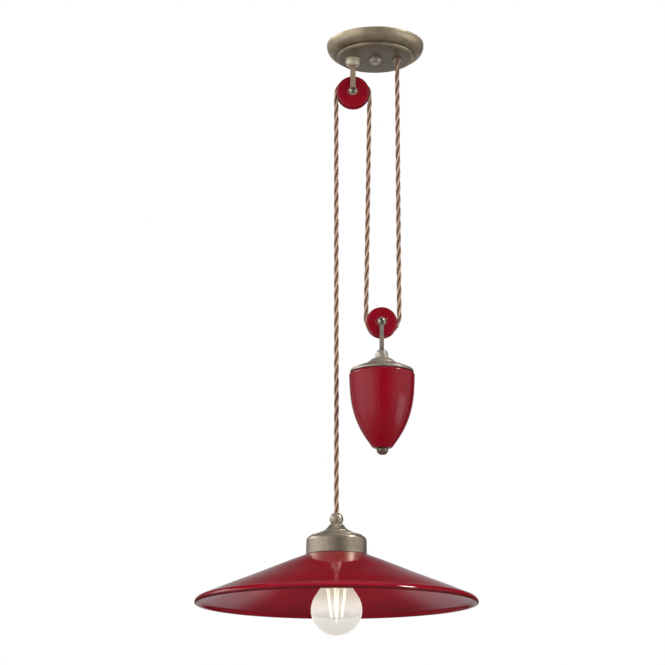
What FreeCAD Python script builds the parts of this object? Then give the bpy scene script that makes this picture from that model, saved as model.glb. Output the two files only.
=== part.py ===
import FreeCAD, Part
import math
import os

# Rise and fall pendant: ceiling plate, two sheaves, balanced counterweight and
# a shallow ceramic shade on one continuous flex.  Millimetres, +Z up.
# Origin: middle of the ceiling plate's mounting plane, so the whole lamp hangs
# below z = 0.  The flex runs in the XZ plane and the sheave axles lie along Y.

V = FreeCAD.Vector

# ---------------------------------------------------------------- dimensions
FLEX_R = 3.8                # three-core twisted flex, 7.6 mm over all

# ceiling plate
PLATE_R = 76.7              # rim radius
PLATE_FACE_Z = -23.2        # flat lower face
PLATE_INNER_Z = -22.0       # inside of that face
BEAD_Z = -22.6              # lowest point of the bead round it
STRAP_W, STRAP_L, STRAP_T = 24.0, 132.0, 2.0
SLOT_SPACING, SLOT_LENGTH, SLOT_R = 66.0, 20.0, 2.5

# the two sheaves
SHEAVE_HALF = 8.0           # half thickness
BORE_R = 4.5                # sheave bore, outside of the bush
AXLE_R = 3.0
RUN_CLEAR = 0.05            # running clearance of bush on axle
GROOVE_R = 4.25             # groove section radius
UP_X, UP_Z = -35.7, -80.6   # upper axle
UP_FLANGE_R, UP_CORD_R = 25.8, 23.0
UP_RUN_L, UP_RUN_R = 26.3, 26.3   # distance of the flex from the axle on each side
LO_X, LO_Z = 7.3, -456.2    # lower axle, which is also the weight's axis
LO_FLANGE_R, LO_CORD_R = 23.7, 18.9
LO_RUN_L, LO_RUN_R = 24.0, 27.2   # the stiff flex stands away from the groove
UP_SPREAD, LO_SPREAD = 65.0, 70.0  # angle of the easing curve from groove to run

# forks
FORK_OUT, FORK_IN = 11.2, 9.0     # half width over and between the arms
UP_FORK_W, LO_FORK_W = 8.4, 6.4   # strap widths
UP_FORK_TOP = -35.6               # crown of the upper fork
LO_FORK_BOTTOM = -499.0           # crown of the lower fork

# counterweight
CAP_TOP_Z = -512.6          # seat of the ferrule on the lid
CAP_RIM_R, CAP_RIM_Z = 48.6, -534.6
SHELL_TOP_Z = -535.8
SHELL_BOTTOM_Z = -651.5
SHELL_WALL = 5.0

# lamp
LAMP_X = UP_X - UP_RUN_L    # the lamp hangs from the outer side of the upper sheave
GRIP_TOP_Z, GRIP_C_Z, GRIP_R = -750.4, -759.5, 10.3
FITTER_TOP_Z, FITTER_R, FITTER_BOTTOM_Z = -767.4, 45.4, -812.6
SHADE_TOP_Z = -814.0
SHADE_R = 210.0
SHADE_HOLE_R = 20.2
SHADE_WALL = 4.2

# bulb
BULB_R, BULB_C_Z = 38.0, -894.4
THREAD_PITCH = 3.629        # E27
CONTACT_Z = -818.0

OUT_X = LO_X + LO_RUN_R     # flex outlet, straight above the lower sheave's outer side
OUT_Z = -27.0               # lower end of the flex held in the outlet bush

# ------------------------------------------------------------------- helpers
os.makedirs("parts", exist_ok=True)
NODES = {}


def save(name, shape, solids=1):
    if shape.ShapeType == "Compound" and len(shape.Solids) == 1:
        shape = shape.Solids[0]
    if not shape.isValid():
        raise RuntimeError(name + " is not valid")
    if len(shape.Solids) != solids:
        raise RuntimeError("%s has %d solids" % (name, len(shape.Solids)))
    NODES[name] = shape
    shape.exportStep("parts/%s.step" % name)


def edges(start, steps, at):
    """Edges from start through steps: ("L", p), ("A", mid, p) or ("S", p, p, ...)."""
    out, here = [], start
    for step in steps:
        kind, pts = step[0], step[1:]
        if kind == "L":
            out.append(Part.LineSegment(at(here), at(pts[0])).toShape())
        elif kind == "A":
            out.append(Part.Arc(at(here), at(pts[0]), at(pts[1])).toShape())
        else:
            curve = Part.BSplineCurve()
            curve.interpolate([at(here)] + [at(p) for p in pts])
            out.append(curve.toShape())
        here = pts[-1]
    if (at(here) - at(start)).Length > 1e-6:
        out.append(Part.LineSegment(at(here), at(start)).toShape())
    return out


def turn_z(x, start, *steps):
    """Solid of revolution about the vertical line at (x, 0); points are (r, z)."""
    wire = Part.Wire(edges(start, steps, lambda p: V(x + p[0], 0, p[1])))
    return Part.Face(wire).revolve(V(x, 0, 0), V(0, 0, 1), 360)


def turn_y(x, z, start, *steps):
    """Solid of revolution about the Y line at (x, z); points are (r, y)."""
    wire = Part.Wire(edges(start, steps, lambda p: V(x + p[0], p[1], z)))
    return Part.Face(wire).revolve(V(x, 0, z), V(0, 1, 0), 360)


def cyl_z(x, y, r, z0, z1):
    return Part.makeCylinder(r, z1 - z0, V(x, y, z0), V(0, 0, 1))


def cyl_y(x, z, r, y0, y1):
    return Part.makeCylinder(r, y1 - y0, V(x, y0, z), V(0, 1, 0))


def box(x0, x1, y0, y1, z0, z1):
    return Part.makeBox(x1 - x0, y1 - y0, z1 - z0, V(x0, y0, z0))


def prism(n, r, x, y, z0, z1, phase=0.0):
    pts = [V(x + r * math.cos(phase + 2 * math.pi * i / n), y + r * math.sin(phase + 2 * math.pi * i / n), z0) for i in range(n + 1)]
    pts[-1] = pts[0]
    return Part.Face(Part.makePolygon(pts)).extrude(V(0, 0, z1 - z0))


def hex_nut_z(x, y, corner, bore, z0, z1):
    nut = prism(6, corner, x, y, z0, z1)
    c = 0.13 * corner
    barrel = turn_z(x, (0, z0), ("L", (corner - c, z0)), ("L", (corner, z0 + c * 0.6)), ("L", (corner, z1 - c * 0.6)), ("L", (corner - c, z1)), ("L", (0, z1)))
    barrel.translate(V(0, y, 0))
    return nut.common(barrel).cut(cyl_z(x, y, bore, z0 - 1, z1 + 1))


def hex_nut_y(x, z, corner, bore, y0, y1):
    nut = hex_nut_z(0, 0, corner, bore, 0, y1 - y0)
    nut.rotate(V(0, 0, 0), V(1, 0, 0), -90)
    nut.translate(V(x, y0, z))
    return nut


def straight_tube(p, q, r):
    p, q = V(*p), V(*q)
    return Part.makeCylinder(r, (q - p).Length, p, q - p)


# ============================================================ ceiling fixing
strap = box(-STRAP_W / 2, STRAP_W / 2, -STRAP_L / 2, STRAP_L / 2, -STRAP_T, 0)
for s in (-1, 1):
    y = s * SLOT_SPACING / 2
    h = SLOT_LENGTH / 2 - SLOT_R
    strap = strap.cut(box(-SLOT_R, SLOT_R, y - h, y + h, -3, 1))
    strap = strap.cut(cyl_z(0, y - h, SLOT_R, -3, 1)).cut(cyl_z(0, y + h, SLOT_R, -3, 1))
    corner = cyl_z(0, 0, STRAP_L / 2, -3, 1)
strap = strap.common(corner)
strap = strap.cut(cyl_z(0, 0, 3.0, -3, 1)).cut(cyl_z(0, 55, 2.05, -3, 1))
save("ceiling_bracket", strap)

# stud pressed in the strap, with a shoulder under it
save("fixing_stud", turn_z(0, (0, 0), ("L", (3.0, 0)), ("L", (3.0, -STRAP_T)), ("L", (6.2, -STRAP_T)), ("L", (6.2, -4.6)), ("L", (3.0, -4.6)),
                           ("L", (3.0, -28.0)), ("L", (2.4, -28.8)), ("L", (0, -28.8))))

# earth screw hanging from the strap, slotted pan head and square washer
earth = turn_z(0, (0, 0), ("L", (2.0, 0)), ("L", (2.0, -2.0)), ("L", (5.0, -2.0)), ("L", (5.0, -2.8)), ("L", (3.9, -2.8)), ("L", (3.9, -4.6)), ("A", (3.3, -5.5), (2.2, -5.9)), ("L", (0, -5.9)))
earth.translate(V(0, 55, 0))
earth = earth.cut(box(-4.5, 4.5, 54.5, 55.5, -6.5, -4.9))
save("earth_screw", earth)

# ============================================================= ceiling plate
plate = turn_z(0, (PLATE_R, 0), ("L", (PLATE_R, -2.0)), ("A", (74.3, -11.0), (66.0, -18.0)), ("A", (64.3, -18.75), (62.7, -19.0)),
               ("A", (61.6, -19.9), (61.1, -21.2)), ("A", (59.6, BEAD_Z), (58.1, -21.6)), ("L", (57.3, -21.4)), ("A", (56.7, -22.6), (55.4, PLATE_FACE_Z)),
               ("L", (3.2, PLATE_FACE_Z)), ("L", (3.2, PLATE_INNER_Z)), ("L", (54.6, PLATE_INNER_Z)), ("L", (56.1, -20.3)), ("L", (59.9, -20.0)), ("L", (61.0, -18.6)),
               ("L", (62.4, -17.7)), ("L", (65.3, -16.9)), ("A", (73.2, -10.4), (75.5, -2.0)), ("L", (75.5, 0)))
plate = plate.cut(cyl_z(UP_X, 0, 2.75, -26, -15)).cut(cyl_z(OUT_X, 0, 5.55, -26, -15))
save("ceiling_plate", plate)

# faceted dome nut under the plate
knob = cyl_z(0, 0, 9.8, -25.2, PLATE_FACE_Z)
ring_a = Part.makePolygon([V(9.7 * math.cos(math.pi / 4 * i + 0.39), 9.7 * math.sin(math.pi / 4 * i + 0.39), -25.2) for i in range(9)])
ring_b = Part.makePolygon([V(8.7 * math.cos(math.pi / 4 * i + 0.39), 8.7 * math.sin(math.pi / 4 * i + 0.39), -28.8) for i in range(9)])
ring_c = Part.makePolygon([V(5.4 * math.cos(math.pi / 4 * i + 0.39), 5.4 * math.sin(math.pi / 4 * i + 0.39), -31.6) for i in range(9)])
knob = knob.fuse(Part.makeLoft([ring_a, ring_b], True, True)).fuse(Part.makeLoft([ring_b, ring_c], True, True)).removeSplitter()
knob = knob.cut(cyl_z(0, 0, 3.05, -29.4, -22))
save("plate_knob", knob)

# outlet bush and its ring nut
save("cord_outlet_bush", turn_z(OUT_X, (4.05, -19.3), ("L", (5.5, -19.3)), ("L", (5.5, PLATE_FACE_Z)), ("L", (7.2, PLATE_FACE_Z)), ("L", (7.2, -25.0)),
                                ("A", (6.7, -26.2), (5.5, -26.7)), ("L", (4.7, -26.7)), ("A", (4.25, -26.5), (4.05, -26.0))))
outlet_nut = hex_nut_z(OUT_X, 0, 9.2, 5.55, PLATE_INNER_Z, -19.5)
save("outlet_nut", outlet_nut)

# terminal block with three poles
TB_X0, TB_X1, TB_Y0, TB_Y1, TB_Z1 = 13.6, 39.6, -39.6, -23.2, -1.8
TAIL_Z = -6.6
block = box(TB_X0, TB_X1, TB_Y0, TB_Y1, PLATE_INNER_Z, TB_Z1).common(cyl_z(0, 0, 54.0, -23, 0))   # outer corner rounded to clear the plate
screws = []
for i in range(3):
    px = TB_X0 + 4.6 + 8.4 * i
    block = block.cut(cyl_y(px, TAIL_Z - 1.6, 1.7, TB_Y0 - 1, TB_Y1 + 1))
    for py in (TB_Y0 + 4.2, TB_Y1 - 4.2):
        block = block.cut(cyl_z(px, py, 2.0, TAIL_Z - 1.6, 0))
        s = cyl_z(px, py, 1.9, TAIL_Z + 0.3, -2.4).cut(box(px - 2.5, px + 2.5, py - 0.35, py + 0.35, -3.4, 0))
        screws.append(s)
    if i < 2:
        block = block.cut(box(px + 3.5, px + 4.9, TB_Y0 - 1, TB_Y1 + 1, -5.2, 0))
save("terminal_block", block)
save("terminal_screws", Part.makeCompound(screws), 6)

# clamp that takes the pull of the flex
anchor = box(OUT_X - 8.5, OUT_X + 8.5, -20.5, -12.5, PLATE_INNER_Z, -1.6)
anchor = anchor.cut(cyl_y(OUT_X, TAIL_Z, FLEX_R, -22, -11)).cut(box(OUT_X - 10, OUT_X + 10, -22, -11, TAIL_Z - 0.25, TAIL_Z + 0.25).cut(box(OUT_X - FLEX_R, OUT_X + FLEX_R, -23, -10, -8, -5)))
save("cord_anchor", anchor, len(anchor.Solids))

# ================================================================ upper fork
save("upper_fork_ferrule", turn_z(UP_X, (2.6, PLATE_FACE_Z), ("L", (11.6, PLATE_FACE_Z)), ("L", (11.6, -24.4)), ("L", (11.1, -24.8)), ("A", (11.3, -28.0), (10.9, -31.0)),
                                  ("A", (9.4, -34.2), (5.6, UP_FORK_TOP)), ("L", (2.6, UP_FORK_TOP))))


def fork(x, z_axle, z_crown, width, hole_r):
    """U strap whose crown is at z_crown and whose eyes are at z_axle."""
    up = 1 if z_crown > z_axle else -1
    zc = z_crown - up * FORK_OUT
    bow = Part.makeCylinder(FORK_OUT, width, V(x - width / 2, 0, zc), V(1, 0, 0)).cut(Part.makeCylinder(FORK_IN, width + 2, V(x - width / 2 - 1, 0, zc), V(1, 0, 0)))
    half = box(x - 20, x + 20, -20, 20, zc, zc + 20) if up > 0 else box(x - 20, x + 20, -20, 20, zc - 20, zc)
    body = bow.common(half)
    lo, hi = sorted((z_axle, zc))
    for s in (-1, 1):
        y0, y1 = sorted((s * FORK_IN, s * FORK_OUT))
        body = body.fuse(box(x - width / 2, x + width / 2, y0, y1, lo, hi)).fuse(cyl_y(x, z_axle, 6.9, y0, y1))
    seat_z = z_crown - up * 4.4
    lo, hi = sorted((seat_z, z_crown - up * 1.2))
    seat = cyl_z(x, 0, 4.7, lo, hi).common(box(x - width / 2, x + width / 2, -6, 6, lo - 1, hi + 1))
    body = body.fuse(seat).removeSplitter()
    lo, hi = sorted((z_crown + up, seat_z - up * 2))
    return body.cut(cyl_z(x, 0, hole_r, lo, hi)).cut(cyl_y(x, z_axle, AXLE_R + 0.05, -20, 20)), seat_z


shape, seat_z = fork(UP_X, UP_Z, UP_FORK_TOP, UP_FORK_W, 2.6)
save("upper_fork", shape)
screw = turn_z(UP_X, (0, -16.0), ("L", (2.5, -16.0)), ("L", (2.5, seat_z)), ("L", (4.1, seat_z)), ("L", (4.1, seat_z - 1.4)), ("A", (3.2, seat_z - 2.3), (0, seat_z - 2.8)))
save("upper_fork_screw", screw.cut(box(UP_X - 0.6, UP_X + 0.6, -5, 5, seat_z - 4, seat_z - 1.5)))
save("upper_fork_nut", hex_nut_z(UP_X, 0, 5.6, 2.55, PLATE_INNER_Z, -17.8))


def axle(x, z):
    """Shoulder bolt through both eyes: slotted dome head in front, thread behind."""
    b = turn_y(x, z, (0, -14.9), ("A", (3.4, -14.2), (5.4, -12.5)), ("L", (5.4, -FORK_OUT)), ("L", (AXLE_R, -FORK_OUT)), ("L", (AXLE_R, FORK_OUT + 0.2)),
               ("L", (2.5, FORK_OUT + 0.2)), ("L", (2.5, 16.6)), ("L", (2.1, 17.0)), ("L", (0, 17.0)))
    slot = box(x - 7, x + 7, -16, -13.4, z - 0.65, z + 0.65)
    slot.rotate(V(x, 0, z), V(0, 1, 0), 38)
    return b.cut(slot)


def washers(x, z):
    w = cyl_y(x, z, 6.2, 8.25, FORK_IN).cut(cyl_y(x, z, AXLE_R + 0.05, 7, 12))
    return Part.makeCompound([w, w.mirror(V(0, 0, 0), V(0, 1, 0))])


def sheave(x, z, flange_r, cord_r):
    """Glazed sheave: hub, dished faces, bevelled flanges, round groove, plain bore."""
    lip = flange_r - 0.9
    bottom = cord_r - GROOVE_R
    pts = [(BORE_R, -SHEAVE_HALF), ("L", (8.2, -SHEAVE_HALF)), ("A", (9.2, -7.75), (9.8, -7.3)), ("L", (flange_r - 3.6, -7.0)), ("A", (flange_r - 2.9, -7.2), (flange_r - 2.3, -7.0)),
           ("L", (flange_r - 0.5, -6.3)), ("A", (flange_r, -5.8), (flange_r - 0.2, -5.2)), ("L", (lip, -4.8)), ("L", (cord_r, -GROOVE_R)),
           ("A", (bottom, 0), (cord_r, GROOVE_R)), ("L", (lip, 4.8)),
           ("L", (flange_r - 0.2, 5.2)), ("A", (flange_r, 5.8), (flange_r - 0.5, 6.3)), ("L", (flange_r - 2.3, 7.0)), ("A", (flange_r - 2.9, 7.2), (flange_r - 3.6, 7.0)),
           ("L", (9.8, 7.3)), ("A", (9.2, 7.75), (8.2, SHEAVE_HALF)), ("L", (BORE_R, SHEAVE_HALF))]
    return turn_y(x, z, pts[0], *pts[1:])


def bush(x, z):
    return cyl_y(x, z, BORE_R, -SHEAVE_HALF, SHEAVE_HALF).cut(cyl_y(x, z, AXLE_R + RUN_CLEAR, -9, 9))


save("upper_axle", axle(UP_X, UP_Z))
save("upper_axle_nut", hex_nut_y(UP_X, UP_Z, 5.4, 2.55, FORK_OUT + 0.0, FORK_OUT + 4.2).cut(cyl_y(UP_X, UP_Z, AXLE_R + 0.02, FORK_OUT - 1, FORK_OUT + 0.25)))
save("upper_washers", washers(UP_X, UP_Z), 2)
save("upper_pulley", sheave(UP_X, UP_Z, UP_FLANGE_R, UP_CORD_R))
save("upper_bush", bush(UP_X, UP_Z))

# ============================================================== lower sheave
save("lower_pulley", sheave(LO_X, LO_Z, LO_FLANGE_R, LO_CORD_R))
save("lower_bush", bush(LO_X, LO_Z))
save("lower_axle", axle(LO_X, LO_Z))
save("lower_axle_nut", hex_nut_y(LO_X, LO_Z, 5.4, 2.55, FORK_OUT + 0.0, FORK_OUT + 4.2).cut(cyl_y(LO_X, LO_Z, AXLE_R + 0.02, FORK_OUT - 1, FORK_OUT + 0.25)))
save("lower_washers", washers(LO_X, LO_Z), 2)
shape, seat_z = fork(LO_X, LO_Z, LO_FORK_BOTTOM, LO_FORK_W, 2.05)
save("lower_fork", shape)

# ============================================================= counterweight
save("lower_fork_ferrule", turn_z(LO_X, (3.05, CAP_TOP_Z), ("L", (10.4, CAP_TOP_Z)), ("L", (10.4, -511.2)), ("L", (9.6, -510.8)), ("A", (9.8, -508.0), (9.4, -505.4)),
                                  ("A", (7.9, -501.1), (4.6, LO_FORK_BOTTOM)), ("L", (3.05, LO_FORK_BOTTOM))))
save("weight_cap", turn_z(LO_X, (3.1, CAP_TOP_Z), ("L", (12.2, CAP_TOP_Z)), ("A", (17.8, -515.2), (21.6, -518.9)), ("L", (22.1, -520.3)), ("A", (34.5, -524.6), (45.6, -529.6)),
                          ("A", (48.0, -531.0), (CAP_RIM_R, -533.0)), ("L", (CAP_RIM_R, CAP_RIM_Z)), ("L", (41.0, CAP_RIM_Z)), ("L", (41.0, -533.6)), ("L", (46.6, -533.2)),
                          ("L", (44.9, -530.7)), ("A", (34.0, -525.8), (21.1, -521.5)), ("L", (20.6, -519.6)), ("A", (17.0, -516.2), (11.8, -513.7)), ("L", (3.1, -513.7))))
save("weight_gasket", cyl_z(LO_X, 0, 47.0, SHELL_TOP_Z, CAP_RIM_Z).cut(cyl_z(LO_X, 0, 41.5, SHELL_TOP_Z - 1, CAP_RIM_Z + 1)))

outer = [(50.0, -541.0), (49.75, -550.0), (49.1, -562.0), (47.8, -575.0), (45.1, -590.0), (40.7, -605.0), (34.4, -620.0), (27.6, -632.2), (21.7, -641.0), (17.0, -647.6)]
inner = [(14.6, -642.6), (17.6, -638.3), (23.0, -630.0), (29.8, -618.0), (36.1, -603.0), (40.3, -588.6), (42.9, -574.0), (44.1, -561.5), (44.75, -550.0), (45.0, -541.0)]
save("weight_shell", turn_z(LO_X, (3.4, SHELL_BOTTOM_Z), ("L", (11.0, SHELL_BOTTOM_Z)), ("A", (14.6, -650.4), outer[-1]), ("S", *reversed(outer[:-1])),
                            ("A", (49.4, -537.2), (47.2, SHELL_TOP_Z)), ("L", (43.0, SHELL_TOP_Z)), ("L", (43.0, -538.6)), ("A", (44.5, -539.4), inner[-1]),
                            ("S", *reversed(inner[:-1])), ("L", (12.6, -645.0)), ("L", (3.4, -645.0))))
slug = [(r - 0.45, z) for r, z in inner]
save("weight_ballast", turn_z(LO_X, (3.3, -645.0), ("L", (11.6, -645.0)), ("L", (slug[0][0], slug[0][1] + 0.3)), ("S", *slug[1:]), ("L", (41.5, -538.6)), ("L", (3.3, -538.6))))
rod = turn_z(LO_X, (0, -658.0), ("L", (2.6, -658.0)), ("L", (3.0, -657.6)), ("L", (3.0, -499.4)), ("L", (2.0, -499.4)), ("L", (2.0, -491.2)), ("L", (1.6, -490.8)), ("L", (0, -490.8)))
save("weight_rod", rod)
cap_nut = turn_z(LO_X, (2.05, seat_z), ("L", (3.1, seat_z)), ("L", (3.1, seat_z + 2.4)), ("A", (2.9, seat_z + 2.9), (2.4, seat_z + 3.1)), ("L", (2.05, seat_z + 3.1)))
save("weight_rod_nut", cap_nut.cut(box(LO_X - 0.4, LO_X + 0.4, -4, 4, seat_z + 2.1, seat_z + 4)))
save("weight_finial", turn_z(LO_X, (3.05, SHELL_BOTTOM_Z), ("L", (7.9, SHELL_BOTTOM_Z)), ("A", (8.7, -652.3), (8.9, -653.6)), ("A", (6.6, -659.4), (0.8, -661.4)), ("L", (0, -661.4)), ("L", (0, -658.4)), ("L", (3.05, -658.4))))

# ====================================================================== lamp
grip = turn_z(LAMP_X, (FLEX_R + 0.05, GRIP_TOP_Z), ("L", (4.85, GRIP_TOP_Z)), ("A", (GRIP_R, GRIP_C_Z), (7.6, -766.45)), ("L", (7.6, FITTER_TOP_Z)), ("L", (5.05, FITTER_TOP_Z)),
              ("L", (5.05, -762.5)), ("L", (FLEX_R + 0.05, -762.5)))
grip = grip.cut(Part.makeCylinder(2.05, 12, V(LAMP_X, 0, -757.6), V(0, 1, 0)))
save("cord_grip", grip)
grub = Part.makeCylinder(2.0, 5.6, V(LAMP_X, FLEX_R + 0.05, -757.6), V(0, 1, 0))
save("grip_screw", grub.cut(box(LAMP_X - 3, LAMP_X + 3, 8.4, 10, -757.95, -757.25)))

save("fitter_cap", turn_z(LAMP_X, (5.1, FITTER_TOP_Z), ("L", (10.4, FITTER_TOP_Z)), ("A", (14.0, -772.3), (19.6, -777.0)), ("L", (21.2, -777.3)), ("L", (21.6, -778.4)),
                          ("A", (29.0, -780.9), (37.4, -783.6)), ("L", (38.6, -784.0)), ("L", (39.0, -785.0)), ("A", (43.4, -787.8), (45.1, -792.6)),
                          ("L", (FITTER_R, -811.6)), ("L", (FITTER_R + 0.3, -812.0)), ("L", (FITTER_R + 0.3, FITTER_BOTTOM_Z)), ("L", (44.3, FITTER_BOTTOM_Z)),
                          ("L", (44.1, -792.8)), ("A", (42.5, -788.6), (38.4, -786.0)), ("L", (37.2, -784.7)), ("A", (28.7, -782.0), (20.7, -779.4)), ("L", (20.0, -778.2)),
                          ("L", (19.0, -778.0)), ("A", (13.3, -773.1), (9.9, -768.5)), ("L", (5.1, -768.5))))
save("fitter_nipple", cyl_z(LAMP_X, 0, 5.0, -784.0, -762.6).cut(cyl_z(LAMP_X, 0, 3.9, -790, -760)))
save("nipple_nut", hex_nut_z(LAMP_X, 0, 8.0, 5.05, -771.8, -768.5))
save("lampholder_dome", turn_z(LAMP_X, (5.05, -777.5), ("L", (7.0, -777.5)), ("L", (7.0, -782.2)), ("A", (15.0, -784.6), (18.6, -790.6)), ("L", (18.6, -812.0)), ("L", (17.3, -812.0)),
                               ("L", (17.3, -790.9)), ("A", (14.2, -785.9), (6.4, -784.0)), ("L", (5.05, -784.0))))
base = cyl_z(LAMP_X, 0, 16.9, -815.0, -790.2)
for s in (-1, 1):
    base = base.cut(cyl_z(LAMP_X + s * 9.5, 0, 2.6, -803, -789))
save("lampholder_base", base)
save("lampholder_shell", turn_z(LAMP_X, (17.3, -812.0), ("L", (19.5, -812.0)), ("L", (19.5, -844.6)), ("A", (18.9, -845.7), (17.8, -846.0)), ("L", (15.0, -846.0)), ("L", (14.5, -845.4)),
                                ("L", (14.5, -818.6)), ("L", (17.3, -818.6))))
save("lampholder_thread", turn_z(LAMP_X, (11.2, -815.0), ("L", (14.1, -815.0)), ("L", (14.1, -841.0)), ("L", (13.45, -841.0)), ("L", (13.45, -815.7)), ("L", (11.2, -815.7))))
tongue_pts = [V(LAMP_X - 9.0, -3, -815.0), V(LAMP_X + 3.0, -3, -815.0), V(LAMP_X + 3.0, -3, -815.6), V(LAMP_X - 4.0, -3, -815.6), V(LAMP_X + 2.6, -3, -817.4), V(LAMP_X + 2.6, -3, -817.95),
              V(LAMP_X - 0.5, -3, -817.95), V(LAMP_X - 7.5, -3, -815.6), V(LAMP_X - 9.0, -3, -815.6), V(LAMP_X - 9.0, -3, -815.0)]
save("lampholder_tongue", Part.Face(Part.makePolygon(tongue_pts)).extrude(V(0, 6, 0)))

# shade: flat shoulder, almost straight cone, rolled lip
out = [(52.5, -815.6), (60.0, -818.3), (75.0, -824.2), (95.0, -832.4), (120.0, -842.8), (145.0, -852.7), (163.0, -859.8), (180.0, -866.7), (193.0, -872.1), (202.0, -875.9)]
inn = []
for i, (r, z) in enumerate(out):
    a, b = out[max(i - 1, 0)], out[min(i + 1, len(out) - 1)]
    d = math.hypot(b[0] - a[0], b[1] - a[1])
    inn.append((r + (b[1] - a[1]) / d * SHADE_WALL, z - (b[0] - a[0]) / d * SHADE_WALL))
save("shade", turn_z(LAMP_X, (SHADE_HOLE_R, SHADE_TOP_Z), ("L", (47.6, SHADE_TOP_Z)), ("A", (50.4, -814.5), out[0]), ("S", *out[1:]),
                     ("A", (207.9, -879.3), (SHADE_R, -884.2)), ("A", (209.2, -885.9), (207.5, -886.4)), ("A", (205.7, -885.7), (204.6, -884.0)), ("A", (203.0, -881.9), inn[-1]),
                     ("S", *reversed(inn[:-1])), ("L", (48.6, -820.0)), ("L", (SHADE_HOLE_R, -820.0))))
save("shade_gasket", cyl_z(LAMP_X, 0, 46.2, SHADE_TOP_Z, FITTER_BOTTOM_Z).cut(cyl_z(LAMP_X, 0, 40.5, SHADE_TOP_Z - 1, FITTER_BOTTOM_Z + 1)))
ring = turn_z(LAMP_X, (19.55, -820.0), ("L", (28.0, -820.0)), ("L", (28.0, -822.4)), ("L", (23.4, -822.8)), ("L", (23.4, -826.6)), ("L", (22.8, -827.0)), ("L", (19.55, -827.0)))
for i in range(12):
    a = math.pi / 6 * i
    ring = ring.cut(cyl_z(LAMP_X + 28.6 * math.cos(a), 28.6 * math.sin(a), 1.6, -824, -819))
save("shade_ring", ring)

# ====================================================================== bulb
save("bulb_contact", turn_z(LAMP_X, (0, CONTACT_Z), ("L", (3.4, CONTACT_Z)), ("L", (4.6, -818.7)), ("L", (4.6, -819.4)), ("L", (0, -819.4))))
save("bulb_insulator", turn_z(LAMP_X, (0, -819.4), ("L", (4.9, -819.4)), ("L", (9.9, -822.3)), ("L", (9.9, -824.4)), ("L", (0, -824.4))))
steps = [("L", (12.1, -824.6))]
z = -824.6
for i in range(4):
    steps.append(("A", (13.1, z - THREAD_PITCH / 4), (12.6, z - THREAD_PITCH / 2)))
    steps.append(("A", (12.1, z - THREAD_PITCH * 3 / 4), (12.6 if i < 3 else 12.7, z - THREAD_PITCH)))
    z -= THREAD_PITCH
steps += [("L", (13.1, z - 1.0)), ("L", (13.1, -846.0)), ("L", (12.75, -846.0)), ("L", (12.75, -843.4)), ("L", (11.6, -842.4)), ("L", (11.6, -824.9)), ("L", (9.95, -824.4)), ("L", (9.95, -822.35))]
save("bulb_cap", turn_z(LAMP_X, (10.5, -822.35), *steps))
save("bulb_glass", turn_z(LAMP_X, (11.5, -838.0), ("L", (11.5, -843.2)), ("L", (12.6, -844.4)), ("L", (12.6, -846.3)), ("A", (13.5, -847.2), (15.1, -848.5)), ("L", (32.02, -873.94)),
                          ("A", (BULB_R, BULB_C_Z), (26.87, BULB_C_Z - 26.87)), ("A", (14.54, BULB_C_Z - 35.11), (1.0, BULB_C_Z - 37.987)), ("L", (0, BULB_C_Z - 37.987)), ("L", (0, BULB_C_Z - 37.087)), ("L", (1.0, BULB_C_Z - 37.087)),
                          ("A", (14.2, BULB_C_Z - 34.28), (26.23, BULB_C_Z - 26.24)), ("A", (BULB_R - 0.9, BULB_C_Z), (31.26, -874.41)), ("L", (14.2, -848.8)),
                          ("A", (12.4, -847.8), (11.7, -846.2)), ("L", (10.6, -844.4)), ("L", (10.6, -838.0))))
# stem: flared foot, hollow tube as a solid core, thin rod with a bead at the end
save("bulb_stem", turn_z(LAMP_X, (0, -841.0), ("L", (10.2, -841.0)), ("L", (10.2, -842.0)), ("A", (5.0, -844.5), (3.6, -851.0)), ("L", (3.2, -864.0)), ("A", (2.9, -865.4), (1.1, -866.4)),
                         ("L", (1.1, -908.5)), ("A", (1.9, -910.2), (1.4, -912.0)), ("L", (0.35, -914.4)), ("L", (0, -914.4))))
sticks, wires = [], []
N_FIL = 6
TOP_R, TOP_Z, BOT_R, BOT_Z = 15.0, -864.0, 9.0, -905.0
for i in range(N_FIL):
    a = math.radians(20 + 360.0 / N_FIL * i)
    p = V(LAMP_X + TOP_R * math.cos(a), TOP_R * math.sin(a), TOP_Z)
    q = V(LAMP_X + BOT_R * math.cos(a), BOT_R * math.sin(a), BOT_Z)
    sticks.append(Part.makeCylinder(0.75, (q - p).Length, p, q - p))
    g = V(LAMP_X + 3.15 * math.cos(a), 3.15 * math.sin(a), -861.5)
    d = (p - g)
    wires.append(Part.makeCylinder(0.25, d.Length - 0.1, g, d))
    h = V(LAMP_X + 1.15 * math.cos(a), 1.15 * math.sin(a), -906.6)
    d = (q - h)
    wires.append(Part.makeCylinder(0.25, d.Length - 0.1, h, d))
save("bulb_filaments", Part.makeCompound(sticks), N_FIL)
save("bulb_supports", Part.makeCompound(wires), 2 * N_FIL)

# ====================================================================== flex
# The flex is one length.  It is cut into pieces where it changes body: tail in
# the plate, vertical run to the lower sheave, loop under it, slanting run up to
# the upper sheave, loop over it, long vertical run to the lamp, tail in the lamp.
area = math.pi * FLEX_R ** 2
total = 0.0


def cord(name, shape, length):
    global total
    save(name, shape)
    total += length
    print("%-18s length %7.1f mm   volume / (section x length) = %.4f" % (name, length, shape.Volume / (area * length)))


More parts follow.
